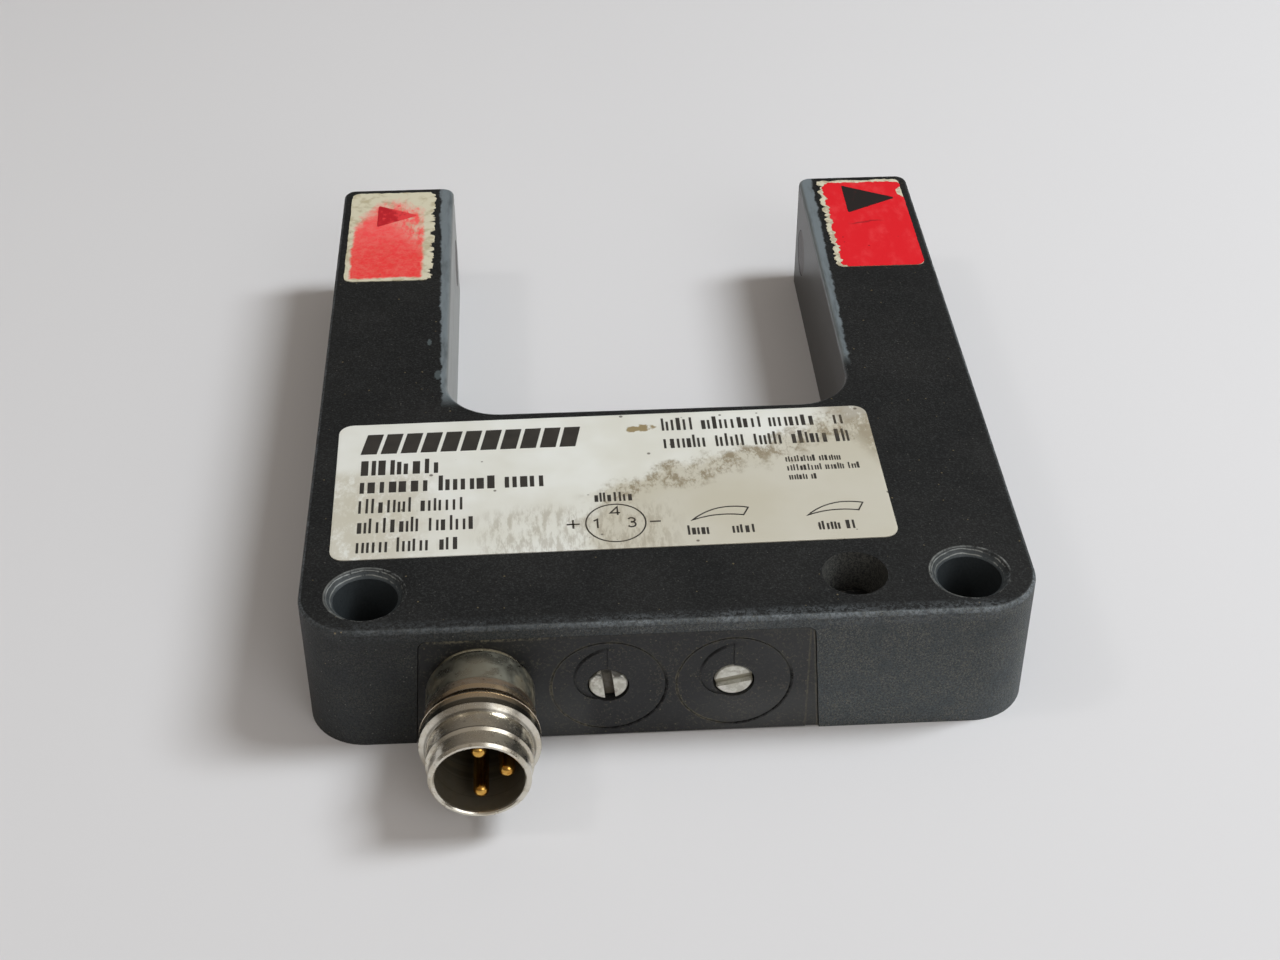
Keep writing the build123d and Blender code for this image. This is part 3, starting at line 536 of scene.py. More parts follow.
def gold_plate():
    """Bright gold-plated contacts with slight rub marks along their length."""
    f = Finish("gold_plate")
    rub = f.noise(3.0, 4.0, stretch=(1, 0.15, 1))
    colour = f.mix(srgb(226, 178, 92), srgb(196, 138, 58), f.above(rub, 0.52, 0.12))
    f.relief(rub, 0.004)
    return f.shade(Base_Color=colour, Roughness=f.blend(0.16, 0.3, rub), Metallic=1.0)


def rotor_plastic():
    """White moulded rotors: dirt and painted shade on the floor of the mode one's slot, pale dirt in the other's.
    """
    f = Finish("rotor_plastic")
    stain = f.above(f.noise(1.6, 5.0, 0.65), 0.5, 0.1)
    colour = f.mix(srgb(226, 226, 218), srgb(176, 174, 160), f.times(stain, 0.6))
    blots = f.above(f.noise(1.3, 3.0, seed=7), 0.6, 0.05)
    colour = f.mix(colour, srgb(142, 130, 116), f.times(blots, 0.5))
    grains = f.specks(5.0, 0.3, 0.25, seed=1)
    colour = f.mix(colour, srgb(100, 92, 74), f.times(grains, 0.5))
    rims = [f.distance(hinge, (1, 0, 1)) for hinge in hinges.values()]
    edge = f.above(f.math("MINIMUM", *rims), rotor_edge, 0.05)
    colour = f.mix(colour, srgb(84, 76, 60), f.times(edge, 0.5))
    # Slot floors: dark brown dirt with painted shade in the mode slot, pale dirt in the sensitivity slot
    mode_side = f.below(f.x, 0.0, 0.1)
    foot = f.above(f.y, rotor_face_y + rotor_slot_depth - 0.12, 0.1)
    colour = f.mix(colour, f.mix(srgb(172, 168, 152), srgb(62, 54, 38), mode_side), f.times(foot, 0.92))
    upper = f.above(f.z, hinges["mode_trimmer"].z + 0.55, 0.2)
    grease = f.times(mode_side, upper, f.above(f.noise(2.2, 4.0, seed=8), 0.44, 0.06))
    colour = f.mix(colour, srgb(46, 42, 33), f.times(grease, 0.9))
    f.relief(f.noise(4.0, 4.0, seed=2), 0.02)
    return f.shade(Base_Color=colour, Roughness=f.blend(0.42, 0.7, stain))


def light_pipe_smoke():
    """Smoked light pipe, nearly black when off, with patches of dust."""
    f = Finish("light_pipe_smoke")
    dust = f.above(f.noise(2.5, 5.0, 0.7), 0.58, 0.08)
    colour = f.mix(srgb(9, 9, 9), srgb(60, 54, 42), f.times(dust, 0.5))
    f.relief(dust, 0.01)
    return f.shade(Base_Color=colour, Roughness=f.blend(0.3, 0.7, dust))


def window_filter():
    """Dark red filter plastic, rubbed dull by what passes through the slot."""
    f = Finish("window_filter")
    wipes = f.noise(2.5, 4.0, stretch=(1, 0.2, 1.4))
    colour = f.mix(srgb(58, 40, 40), srgb(46, 34, 34), wipes)
    f.relief(wipes, 0.003)
    rubbed = f.blend(0.34, 0.5, wipes)
    return f.shade(Base_Color=colour, Roughness=rubbed, Specular_IOR_Level=0.35, Transmission_Weight=0.1)


# --- Finishes of the films -----------------------


def label_places(f):
    """Position along and across the label from its centre."""
    moved = f.vector("SUBTRACT", f.place, tuple(label_centre))
    node = f.nodes.new("ShaderNodeVectorRotate")
    node.rotation_type = "Z_AXIS"
    f.put(node.inputs["Vector"], moved)
    node.inputs["Angle"].default_value = -label_turn
    turned = f.split(node.outputs["Vector"])
    return turned[0], turned[1]


def label_dirt(f):
    """Smeared brown dirt on the label: how strong it is, and how strong its dark edges are."""
    along, up = label_places(f)
    wander = f.times(f.less(f.noise(0.32, 5.0, 0.6, seed=5), 0.5), 7.0)

    # On the right half, below a line that climbs to the right, with a crust along that line
    rise = f.add(f.less(up, f.times(along, 0.42)), 1.0, wander)
    right_side = f.above(f.add(along, wander), -1.5, 1.5)
    veil = f.times(f.below(rise, 0.0, 0.7), right_side)
    rub = f.noise(1.1, 7.0, 0.78, stretch=(1.0, 0.55, 1.0), seed=6)
    crust = f.times(f.below(f.size(f.add(rise, 0.9)), 1.3, 0.7), right_side, f.above(rub, 0.52, 0.08))

    # Streaks low down in the middle, and a faint smudge at their left end
    low = f.times(f.below(f.add(up, f.times(wander, 0.3)), -3.2, 0.9), f.between(along, -9.0, 4.0, 1.5))
    streak = f.noise(1.1, 6.0, 0.7, stretch=(1.9, 0.5, 1.0), seed=7)
    crust = f.most(crust, f.times(low, f.above(streak, 0.52, 0.09), 0.5))
    oval = f.distance((label_centre.x - 7.5, label_centre.y - 3.6, 0), (0.16, 0.34, 0))
    smudge = f.below(f.add(oval, f.times(wander, 0.25)), 0.7, 0.5)
    veil = f.most(veil, f.times(smudge, 0.27))

    # Patches at the left edge and the upper right corner
    left = f.times(f.below(f.add(along, wander), -13.0, 2.0), f.below(up, 1.8, 0.8))
    veil = f.most(veil, f.times(left, f.above(rub, 0.44, 0.1), 0.9))
    corner_x = f.less(along, label_size[0] / 2 - 1.6)
    corner = f.times(f.above(f.add(corner_x, f.times(up, 0.5)), 2.2, 1.0), f.above(rub, 0.42, 0.08))
    return veil, f.most(crust, f.times(corner, 0.8))


def label_film():
    """Satin off-white film, yellowed and smeared."""
    f = Finish("label_film")
    cloud = f.noise(0.15, 3.0)
    colour = f.mix(srgb(233, 234, 229), srgb(220, 219, 209), f.above(cloud, 0.48, 0.2))
    veil, crust = label_dirt(f)
    colour = f.mix(colour, srgb(177, 167, 141), f.times(veil, 0.56))
    colour = f.mix(colour, srgb(124, 108, 78), f.times(crust, 0.78))
    glue = f.distance((label_centre.x + 2.4, label_centre.y + 5.95, 0), (0.62, 1.7, 0))
    blob = f.below(f.add(glue, f.times(f.less(f.noise(1.4, 3.0, seed=8), 0.5), 1.6)), 0.62, 0.1)
    colour = f.mix(colour, srgb(142, 122, 74), f.times(blob, 0.9))
    specks = f.specks(1.1, 0.16, 0.2, seed=4)
    colour = f.mix(colour, srgb(70, 58, 42), f.times(specks, 0.8))
    f.relief(f.add(f.noise(0.6, 3.0, seed=9), f.times(crust, 0.6), blob), 0.012)
    return f.shade(Base_Color=colour, Roughness=f.blend(0.36, 0.68, crust), Specular_IOR_Level=0.5)


def label_ink():
    """Black print, dulled where the dirt covers it."""
    f = Finish("label_ink")
    fade = f.noise(1.5, 4.0)
    colour = f.mix(srgb(34, 32, 31), srgb(62, 58, 52), fade)
    crust = label_dirt(f)[1]
    colour = f.mix(colour, srgb(112, 100, 78), f.times(crust, 0.45))
    f.relief(fade, 0.004)
    return f.shade(Base_Color=colour, Roughness=f.blend(0.4, 0.6, fade))


film_cream = srgb(214, 208, 184)
film_red = srgb(226, 24, 36)


def emitter_marker_film():
    """Cream film whose red print has rubbed away towards the tip and the slot."""
    f = Finish("emitter_marker_film")
    centre = middle_mm("emitter_marker")
    along = f.less(f.x, centre.x)
    up = f.less(f.y, centre.y)
    mottle = f.less(f.noise(0.8, 7.0, 0.72, seed=2), 0.5)
    inset = f.most(f.less(-3.2, along), f.less(along, 2.65), f.less(-6.75, up))
    printed = f.below(f.add(inset, f.times(mottle, 0.9)), 0.0, 0.16)

    # The print's upper end is an arch, high in the middle, with a soft mottled edge
    off_middle = f.less(along, 0.2)
    arch = f.less(5.3, f.times(off_middle, off_middle, 0.36))
    faded = f.above(f.add(f.less(up, arch), f.times(mottle, 5.0)), 0.0, 1.3)
    scratched = f.above(f.noise(1.3, 6.0, 0.75, stretch=(1.5, 0.6, 1.0), seed=8), 0.5, 0.1)
    upper_right = f.above(f.add(along, f.times(up, 0.55)), 1.6, 1.4)
    left = f.times(printed, f.opposite(faded), f.opposite(f.times(upper_right, scratched, 0.75)))
    cream = f.mix(film_cream, srgb(190, 180, 150), f.above(f.noise(1.2, 4.0, seed=4), 0.55, 0.1))
    pink = f.mix(srgb(250, 74, 78), srgb(240, 40, 46), f.below(up, -1.0, 3.0))
    thin = f.above(f.noise(2.6, 5.0, 0.75, seed=9), 0.5, 0.14)
    colour = f.mix(cream, pink, f.times(left, f.blend(0.97, 0.84, thin)))
    specks = f.specks(1.8, 0.16, 0.14, seed=5)
    colour = f.mix(colour, srgb(70, 52, 40), f.times(specks, 0.6))
    f.relief(f.add(mottle, f.times(left, 0.5)), 0.012)
    return f.shade(Base_Color=colour, Roughness=f.blend(0.5, 0.62, left), Specular_IOR_Level=0.35)


def receiver_marker_film():
    """Cream backing of the red marker, soiled along its torn edge."""
    f = Finish("receiver_marker_film")
    soil = f.above(f.noise(1.4, 5.0, 0.65), 0.53, 0.08)
    colour = f.mix(film_cream, srgb(150, 128, 96), f.times(soil, 0.55))
    f.relief(soil, 0.01)
    return f.shade(Base_Color=colour, Roughness=f.blend(0.55, 0.7, soil))


def marker_red():
    """Bright red print with light scuffs, fine specks and one dark scratch under the arrow."""
    f = Finish("marker_red")
    centre = middle_mm("receiver_marker")
    scuff = f.noise(0.8, 6.0, 0.7, stretch=(1, 0.5, 1), seed=1)
    colour = f.mix(film_red, srgb(232, 52, 58), f.above(scuff, 0.57, 0.1))
    specks = f.specks(1.5, 0.16, 0.22, seed=3)
    colour = f.mix(colour, srgb(52, 26, 24), f.times(specks, 0.7))
    along = f.less(f.x, centre.x)
    sway = f.times(f.less(f.noise(0.9, 3.0, seed=5), 0.5), 0.9)
    off = f.size(f.add(f.less(f.y, centre.y), f.times(along, -0.12), sway))
    scratch = f.times(f.below(off, 0.12, 0.1), f.between(along, -1.4, 0.9, 0.5))
    colour = f.mix(colour, srgb(120, 22, 28), f.times(scratch, 0.6))
    f.relief(scuff, 0.01)
    return f.shade(Base_Color=colour, Roughness=f.blend(0.42, 0.58, scuff), Specular_IOR_Level=0.35)


def worn_arrow(name, strong, weak, share, tail_x, fade):
    """Print of a beam triangle, worn away in spots, and more so with distance from its tail."""
    f = Finish(name)
    spared = f.less(share, f.times(f.less(f.x, tail_x), fade))
    wear = f.above(f.noise(1.6, 5.0, 0.7, seed=6), spared, 0.08)
    f.relief(wear, 0.006)
    return f.shade(Base_Color=f.mix(strong, weak, wear), Roughness=f.blend(0.45, 0.6, wear))


# --- Finishes of what the housing holds ----------


def moulded(name, dark, light, scale=1.5, roughness=(0.45, 0.6), grain=0.015, **constants):
    """Plain moulded, fired or cast surface with cloudy colour and a fine grain."""
    f = Finish(name)
    cloud = f.noise(scale, 4.0, 0.6)
    grit = f.noise(scale * 6, 3.0, seed=1)
    f.relief(f.add(f.times(cloud, 0.4), grit), grain)
    colour = f.mix(dark, light, f.above(cloud, 0.5, 0.18))
    return f.shade(Base_Color=colour, Roughness=f.blend(*roughness, grit), **constants)


def board_laminate():
    """Green solder mask over copper tracks."""
    f = Finish("board_laminate")
    tracks = f.times(f.math("PINGPONG", f.add(f.x, f.times(f.noise(0.2, 1.0), 6.0)), 0.6), 1.6)
    copper = f.above(tracks, 0.55, 0.08)
    colour = f.mix(srgb(14, 70, 38), srgb(34, 104, 54), copper)
    f.relief(f.add(copper, f.times(f.noise(6.0), 0.3)), 0.03)
    return f.shade(Base_Color=colour, Roughness=f.blend(0.3, 0.4, copper), Specular_IOR_Level=0.5)


def lens_clear():
    """Clear moulded optics with faint swirl marks."""
    f = Finish("lens_clear")
    swirl = f.noise(1.2, 3.0)
    f.relief(swirl, 0.002)
    colour = f.mix(srgb(232, 238, 240), srgb(214, 222, 226), swirl)
    gloss = f.blend(0.03, 0.1, swirl)
    return f.shade(Base_Color=colour, Roughness=gloss, Transmission_Weight=0.9, IOR=1.49)


finishes = {
    "housing_coat": housing_coat(),
    "black_plastic": black_plastic(),
    "insert_plastic": insert_plastic(),
    "label_film": label_film(),
    "emitter_marker_film": emitter_marker_film(),
    "receiver_marker_film": receiver_marker_film(),
    "nickel_plate": nickel_plate(),
    "gold_plate": gold_plate(),
    "rotor_plastic": rotor_plastic(),
    "light_pipe_smoke": light_pipe_smoke(),
    "window_filter": window_filter(),
    "lens_clear": lens_clear(),
    "board_laminate": board_laminate(),
    "seal_rubber": moulded("seal_rubber", srgb(22, 22, 22), srgb(40, 39, 38), 2.0, (0.7, 0.85)),
    "trimmer_plastic": moulded("trimmer_plastic", srgb(44, 82, 152), srgb(58, 98, 170), 1.2),
    "track_ceramic": moulded("track_ceramic", srgb(224, 220, 208), srgb(60, 54, 50), 0.8, (0.5, 0.7)),
    "tinned_metal": moulded(
        "tinned_metal", srgb(196, 196, 192), srgb(168, 168, 166), 1.6, (0.25, 0.4), Metallic=1.0
    ),
    "package_black": moulded("package_black", srgb(34, 34, 34), srgb(50, 50, 50), 2.5, (0.55, 0.7)),
    "capacitor_tantalum": moulded("capacitor_tantalum", srgb(206, 152, 52), srgb(222, 172, 76), 1.2),
    "capacitor_ceramic": moulded("capacitor_ceramic", srgb(184, 150, 108), srgb(202, 170, 128), 1.8),
    "led_package": moulded("led_package", srgb(236, 226, 190), srgb(246, 240, 214), 1.4, (0.2, 0.35)),
}

for row in frame["record"]["subparts"]:
    mesh = frame["nodes"][row["node"]].data
    mesh.materials.clear()
    mesh.materials.append(finishes[row["material_slot"]])


# --- Mesh helpers --------------------------------


def add_prism(bm, outline, low, high):
    """Closed prism over an outline of (x, y), between two heights, all in millimetres."""
    bottom = [bm.verts.new(Vector((x, y, low)) * MM) for x, y in outline]
    top = [bm.verts.new(Vector((x, y, high)) * MM) for x, y in outline]
    bm.faces.new(bottom[::-1])
    bm.faces.new(top)
    for i, corner in enumerate(bottom):
        j = (i + 1) % len(bottom)
        bm.faces.new((corner, bottom[j], top[j], top[i]))


def add_band(bm, path, width, low, high, closed=False):
    """Line of even width along a path of (x, y), as one closed solid with mitred corners."""
    count = len(path)
    inner, outer = [], []
    for i, (x, y) in enumerate(path):
        here = Vector((x, y))
        before = Vector(path[i - 1]) if closed or i > 0 else None
        after = Vector(path[(i + 1) % count]) if closed or i < count - 1 else None
        ways = [(here - before).normalized()] if before is not None else []
        ways += [(after - here).normalized()] if after is not None else []
        way = sum(ways, Vector((0, 0))).normalized()
        across = Vector((-way.y, way.x))
        mitre = max(across.dot(Vector((-ways[0].y, ways[0].x))), 0.4)
        reach = across * (width / 2 / mitre)
        inner.append(here - reach)
        outer.append(here + reach)
    rows = []
    for side, height in ((inner, low), (outer, low), (outer, high), (inner, high)):
        rows.append([bm.verts.new(Vector((p.x, p.y, height)) * MM) for p in side])
    last = count if closed else count - 1
    for i in range(last):
        j = (i + 1) % count
        for first, second in ((0, 1), (1, 2), (2, 3), (3, 0)):
            bm.faces.new((rows[first][i], rows[second][i], rows[second][j], rows[first][j]))
    if not closed:
        bm.faces.new([row[0] for row in rows][::-1])
        bm.faces.new([row[-1] for row in rows])


def arc(centre, radius, start, sweep, steps):
    """Points along a round arc, angles in degrees."""
    angles = [math.radians(start + sweep * i / steps) for i in range(steps + 1)]
    return [(centre[0] + radius * math.cos(a), centre[1] + radius * math.sin(a)) for a in angles]


def bend(start, middle, end, steps):
    """Points along a quadratic curve pulled towards middle."""
    points = []
    for i in range(steps + 1):
        share = i / steps
        first = Vector(start).lerp(Vector(middle), share)
        second = Vector(middle).lerp(Vector(end), share)
        points.append(tuple(first.lerp(second, share)))
    return points


def rounded_rectangle(width, height, radius, steps=8):
    """Outline about the origin, anticlockwise."""
    outline = []
    for turn, (x, y) in enumerate(((1, 1), (-1, 1), (-1, -1), (1, -1))):
        centre = (x * (width / 2 - radius), y * (height / 2 - radius))
        outline += arc(centre, radius, 90 * turn, 90, steps)
    return outline


def add_torn_film(bm, low, high, radius, tears, seed, bottom, top, notch=None):
    """Thin film with rounded corners whose sides are scalloped by wear, between two heights.

    low and high are its lowest and highest corner. tears are the deepest bites into the lower, right,
    upper and left side. notch is the middle, reach and depth of one more bite into the right side.
    """
    centre = (Vector(low) + Vector(high)) / 2
    size = Vector(high) - Vector(low)
    sides = rounded_rectangle(size.x, size.y, radius, 5)
    middle_share = Vector((1 - 3.0 / size.x, 1 - 3.0 / size.y))
    rows = ([], [], [], [])
    for i, corner in enumerate(sides):
        start = Vector(corner)
        end = Vector(sides[(i + 1) % len(sides)])
        way = (end - start).normalized()
        inwards = Vector((-way.y, way.x))
        weights = (max(way.x, 0), max(way.y, 0), max(-way.x, 0), max(-way.y, 0))
        tear = sum(weight * depth for weight, depth in zip(weights, tears))
        steps = max(1, round((end - start).length / 0.09))
        for step in range(steps):
            base = start.lerp(end, step / steps)
            here = centre + base
            lobes = min(abs(noise.noise(Vector((here.x * 0.7, here.y * 0.7, seed)))) * 4.5, 1.0)
            fine = abs(noise.noise(Vector((here.x * 2.3, here.y * 2.3, seed + 20))))
            bite = tear * (0.7 * (1 - lobes**0.5) + 0.6 * fine)
            if notch and way.y > 0.9:
                middle, reach, depth = notch
                bite += depth * math.exp(-(((here.y - middle) / reach) ** 4))
            edge = here + inwards * bite
            inner = centre + base * middle_share
            for row, place, height in zip(rows, (inner, edge, edge, inner), (bottom, bottom, top, top)):
                row.append(bm.verts.new(Vector((place.x, place.y, height)) * MM))
    count = len(rows[0])
    for i in range(count):
        j = (i + 1) % count
        for first, second in zip(rows, rows[1:]):
            bm.faces.new((first[i], first[j], second[j], second[i]))
    bm.faces.new(rows[0][::-1])
    bm.faces.new(rows[3])


def make_piece(name, bm, finish, body="body", place=None):
    """Turn a mesh under construction into a piece that rides on a body."""
    if place is not None:
        bm.transform(place)
    bmesh.ops.recalc_face_normals(bm, faces=bm.faces)
    mesh = bpy.data.meshes.new(name)
    bm.to_mesh(mesh)
    bm.free()
    mesh.materials.append(finish)
    piece = bpy.data.objects.new(name, mesh)
    bpy.context.scene.collection.objects.link(piece)
    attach(piece, body)
    return piece


# --- Label ---------------------------------------

film_top = label_top - 0.018
ink_top = label_top - 0.004
ink_low = film_top - 0.01
label_place = Matrix.Translation(Vector((label_centre.x, label_centre.y, 0)) * MM) @ Matrix.Rotation(
    label_turn, 4, "Z"
)


def make_label_film():
    """The film, a little wavy, with its edges pressed down onto the housing."""
    bm = bmesh.new()
    ring_count = 14
    loops = []
    for ring in range(ring_count):
        inset = 7.4 * (ring / (ring_count - 1)) ** 1.5
        radius = max(1.0 - inset, 0.15)
        outline = rounded_rectangle(label_size[0] - 2 * inset, label_size[1] - 2 * inset, radius, 6)
        loop = []
        for x, y in outline:
            wave = 0.006 * noise.noise(Vector((x * 0.35, y * 0.35, 2.0)))
            pressed = 0.02 if ring == 0 else 0.0
            loop.append(bm.verts.new(Vector((x, y, film_top - 0.006 + wave - pressed)) * MM))
        loops.append(loop)
    foot = [bm.verts.new(Vector((v.co.x, v.co.y, top_z * MM))) for v in loops[0]]
    count = len(foot)
    for i in range(count):
        j = (i + 1) % count
        bm.faces.new((foot[i], foot[j], loops[0][j], loops[0][i]))
        for outer, inner in zip(loops, loops[1:]):
            bm.faces.new((outer[i], outer[j], inner[j], inner[i]))
    bm.faces.new(loops[-1])
    bm.faces.new(foot[::-1])
    film = make_piece("label_film_sheet", bm, finishes["label_film"], place=label_place)
    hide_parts("type_label")


def add_ticks(bm, left, base, length, height, weight, chance):
    """Stand-in for a line of print: upright ticks in groups of uneven length."""
    x = left
    group = chance.randint(6, 11)
    while x + weight < left + length:
        tall = height * chance.choice((0.72, 0.72, 0.72, 0.86, 1.0))
        wide = weight * chance.choice((1.0, 1.0, 1.0, 1.7))
        outline = ((x, base), (x + wide, base), (x + wide, base + tall), (x, base + tall))
        add_prism(bm, outline, ink_low, ink_top)
        x += wide + height * chance.choice((0.1, 0.14, 0.2))
        group -= 1
        if group == 0:
            x += height * 0.32
            group = chance.randint(6, 11)


def make_label_lines(ink):
    """Rows of plain ticks where a type label has its data."""
    chance = random.Random(11)
    bold = bmesh.new()
    low, high, shear = 4.05, 6.4, 0.45
    for bar in range(11):
        left = -17.6 + 1.42 * bar
        right = left + 1.14
        outline = ((left, low), (right, low), (right + shear, high), (left + shear, high))
        add_prism(bold, outline, ink_low, ink_top)
    for left, base, length, height in ((-17.5, 1.55, 6.2, 1.7), (-17.5, -0.5, 13.0, 1.7)):
        add_ticks(bold, left, base, length, height, 0.3, chance)
    make_piece("label_heavy_print", bold, ink, place=label_place)

    fine = bmesh.new()
    rows = (
        (-17.5, -2.75, 7.8, 1.6),
        (-17.5, -4.95, 8.0, 1.6),
        (-17.5, -7.05, 7.2, 1.5),
        (4.1, 5.5, 11.4, 1.5),
        (16.7, 5.5, 0.9, 1.5),
        (4.1, 3.35, 13.5, 1.5),
    )
    for left, base, length, height in rows:
        add_ticks(fine, left, base, length, height, 0.17, chance)
    for line, length in enumerate((4.0, 5.1, 2.1)):
        add_ticks(fine, 12.6, 1.15 - 1.05 * line, length, 0.7, 0.1, chance)
    captions = (
        (-1.2, -2.55, 2.6, 1.0),
        (4.95, -6.6, 1.5, 1.0),
        (8.0, -6.6, 1.5, 1.0),
        (13.9, -6.65, 2.8, 0.9),
    )
    for left, base, length, height in captions:
        add_ticks(fine, left, base, length, height, 0.15, chance)
    make_piece("label_fine_print", fine, ink, place=label_place)


def make_pin_diagram(ink):
    """Circle with the contact numbers 1, 3 and 4, a plus and a minus."""
    bm = bmesh.new()
    centre = (0.12, -4.96)
    add_band(bm, arc(centre, 2.05, 0, 360, 64)[:-1], 0.1, ink_low, ink_top, closed=True)
    one = [(-1.38, -4.68), (-1.13, -4.5), (-1.13, -5.45)]
    three = arc((1.2, -4.72), 0.24, 150, -240, 10) + arc((1.2, -5.2), 0.27, 90, -240, 10)
    four = [(0.3, -4.1), (0.3, -3.2), (-0.2, -3.87), (0.48, -3.87)]
    for path in (one, three, four):
        add_band(bm, path, 0.12, ink_low, ink_top)
    plus_across = [(-3.25, -4.95), (-2.35, -4.95)]
    plus_upright = [(-2.8, -4.5), (-2.8, -5.4)]
    minus = [(2.45, -4.98), (3.2, -4.98)]
    for path in (plus_across, plus_upright, minus):
        add_band(bm, path, 0.13, ink_low, ink_top)
    make_piece("label_pin_diagram", bm, ink, place=label_place)


def make_wedges(ink):
    """Two outlined wedges that widen clockwise, the usual sign for a trimmer's turn."""
    bm = bmesh.new()
    for left in (5.33, 13.3):
        tip = (left, -5.05)
        outer = bend(tip, (left + 1.75, -3.2), (left + 4.0, -3.87), 14)
        inner = bend((left + 3.6, -4.68), (left + 1.7, -4.25), tip, 12)
        add_band(bm, outer + inner[:-1], 0.1, ink_low, ink_top, closed=True)
    make_piece("label_wedge_symbols", bm, ink, place=label_place)


make_label_film()
print_ink = label_ink()
make_label_lines(print_ink)
make_pin_diagram(print_ink)
make_wedges(print_ink)


# --- Beam markers --------------------------------


def marker_corners(node, insets):
    """Lowest and highest corner of a marker's box, pulled in by (left, low, right, high)."""
    low, high = box_mm(node)
    left, bottom, right, top = insets
    return (low.x + left, low.y + bottom), (high.x - right, high.y - top)


def make_markers():
    """Two worn films: cream with faded red on the emitter arm, red over cream on the receiver arm."""
    marker_top = box_mm("emitter_marker")[1].z
    film_high = top_z + 0.045
    red_high = top_z + 0.062
    arrow_high = marker_top - 0.004

    bm = bmesh.new()
    low, high = marker_corners("emitter_marker", (0.05, 0.05, 0.1, 0.05))
    add_torn_film(bm, low, high, 0.75, (0.08, 0.8, 0.12, 0.08), 3, top_z, red_high)
    film = make_piece("emitter_marker_sheet", bm, finishes["emitter_marker_film"])
    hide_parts("emitter_marker")

    bm = bmesh.new()
    low, high = marker_corners("receiver_marker", (0.0, 0.15, 0.1, 0.0))
    add_torn_film(bm, low, high, 0.6, (0.0, 0.0, 0.2, 0.55), 7, top_z, film_high)
    film = make_piece("receiver_marker_sheet", bm, finishes["receiver_marker_film"])
    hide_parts("receiver_marker")

    bm = bmesh.new()
    low, high = marker_corners("receiver_marker", (0.42, 0.12, 0.07, 0.42))
    notch = (high[1] - 1.9, 0.75, 0.5)
    add_torn_film(bm, low, high, 0.7, (0.03, 0.03, 0.2, 0.45), 9, film_high - 0.005, red_high, notch)
    make_piece("receiver_marker_print", bm, marker_red())

    faded = ("faded_arrow", srgb(190, 22, 36), srgb(228, 58, 62), 0.62)
    black = ("black_arrow", srgb(30, 24, 24), srgb(84, 34, 34), 0.66)
    for role, print_look, fade, back, up, length, half in (
        ("emitter", faded, 0.08, -1.3, 3.2, 3.25, 1.7),
        ("receiver", black, 0.0, -1.5, 3.9, 4.2, 2.25),
    ):
        centre = middle_mm(f"{role}_marker")
        tail = centre.x + back
        finish = worn_arrow(*print_look, tail, fade)
        height = centre.y + up
        outline = arc((tail + 0.12, height - half + 0.12), 0.12, 180, 100, 4)
        outline += arc((tail + length - 0.14, height), 0.14, -60, 120, 4)
        outline += arc((tail + 0.12, height + half - 0.12), 0.12, 80, 100, 4)
        bm = bmesh.new()
        add_prism(bm, outline, red_high - 0.005, arrow_high)
        make_piece(f"{role}_marker_arrow", bm, finish)


make_markers()


# --- Floor, lights and camera --------------------


def make_floor():
    """Large pale sheet under the part."""
    f = Finish("floor_paper")
    cloud = f.noise(0.008, 3.0)
    colour = f.mix(srgb(226, 225, 227), srgb(220, 219, 221), cloud)
    f.shade(Base_Color=colour, Roughness=0.85, Specular_IOR_Level=0.2)
    reach = 1.6
    bm = bmesh.new()
    bmesh.ops.create_grid(bm, x_segments=4, y_segments=4, size=reach)
    mesh = bpy.data.meshes.new("floor")
    bm.to_mesh(mesh)
    bm.free()
    mesh.materials.append(f.material)
    floor = bpy.data.objects.new("floor", mesh)
    bpy.context.scene.collection.objects.link(floor)


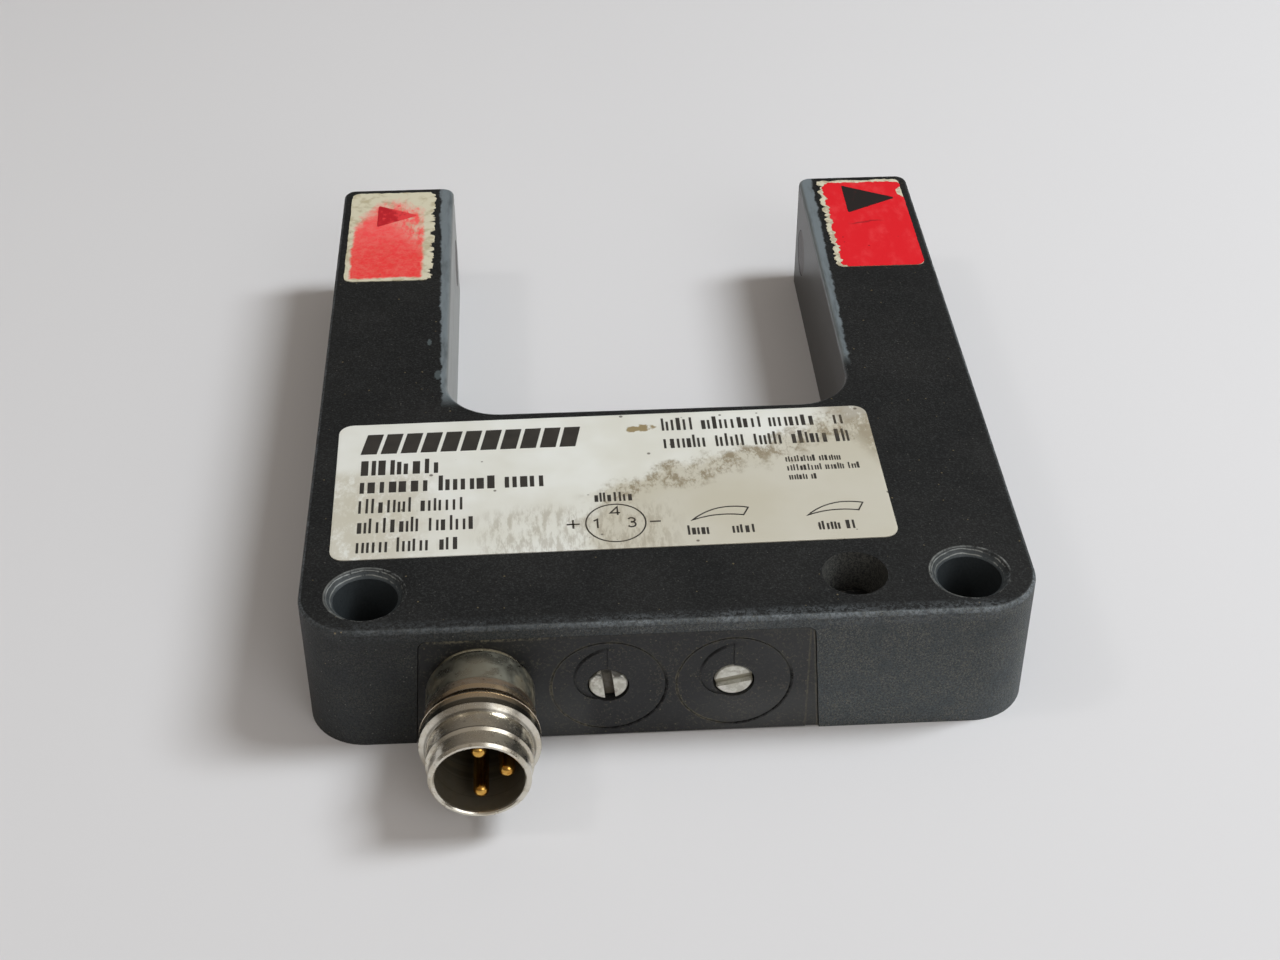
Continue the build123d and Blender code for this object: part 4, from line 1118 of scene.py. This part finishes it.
def make_light(name, place, size, power, colour):
    """Soft ball of light, size across, at a place in metres."""
    light = bpy.data.lights.new(name, "POINT")
    light.shadow_soft_size = size / 2
    light.energy = power
    light.color = colour
    lamp = bpy.data.objects.new(name, light)
    bpy.context.scene.collection.objects.link(lamp)
    lamp.location = place


def make_surroundings():
    """Soft warm light from all round: bright overhead, dimmer towards the back wall."""
    world = bpy.data.worlds.new("surroundings")
    world.use_nodes = True
    nodes = world.node_tree.nodes
    links = world.node_tree.links
    way = nodes.new("ShaderNodeTexCoord")
    parts = nodes.new("ShaderNodeSeparateXYZ")
    links.new(way.outputs["Generated"], parts.inputs[0])
    level = nodes.new("ShaderNodeMath")
    level.operation = "MULTIPLY_ADD"
    links.new(parts.outputs["Y"], level.inputs[0])
    level.inputs[1].default_value = -0.28
    links.new(parts.outputs["Z"], level.inputs[2])
    spread = nodes.new("ShaderNodeMapRange")
    spread.inputs["From Min"].default_value = 0.1
    spread.inputs["From Max"].default_value = 1.0
    spread.inputs["To Min"].default_value = 0.08
    spread.inputs["To Max"].default_value = 0.375
    links.new(level.outputs[0], spread.inputs["Value"])
    background = nodes["Background"]
    background.inputs["Color"].default_value = (1.0, 0.9, 0.79, 1.0)
    links.new(spread.outputs["Result"], background.inputs["Strength"])
    bpy.context.scene.world = world


def make_camera():
    """Camera above the connector side, looking down across the fork."""
    camera = bpy.data.cameras.new("camera")
    camera.lens = 56.7
    camera.sensor_width = 36.0
    camera.clip_start = 0.002
    eye = bpy.data.objects.new("camera", camera)
    bpy.context.scene.collection.objects.link(eye)
    eye.location = Vector((-7.8, -101.2, 96.0)) * MM
    eye.rotation_euler = (math.radians(52.64), 0, math.radians(-3.31))
    bpy.context.scene.camera = eye


make_floor()
make_light("key_near", (0.22, 0.02, 0.38), 0.11, 2.9, (0.92, 0.97, 1.0))
make_light("key_far", (0.31, 0.06, 0.36), 0.11, 2.9, (0.92, 0.97, 1.0))
make_light("fill", (0.24, -0.42, 0.26), 0.36, 2.5, (0.97, 0.98, 1.0))
make_light("glint", (-0.22, -0.02, 0.34), 0.05, 0.44, (1.0, 0.98, 0.95))
make_surroundings()
make_camera()
bpy.context.scene.view_settings.view_transform = "Standard"
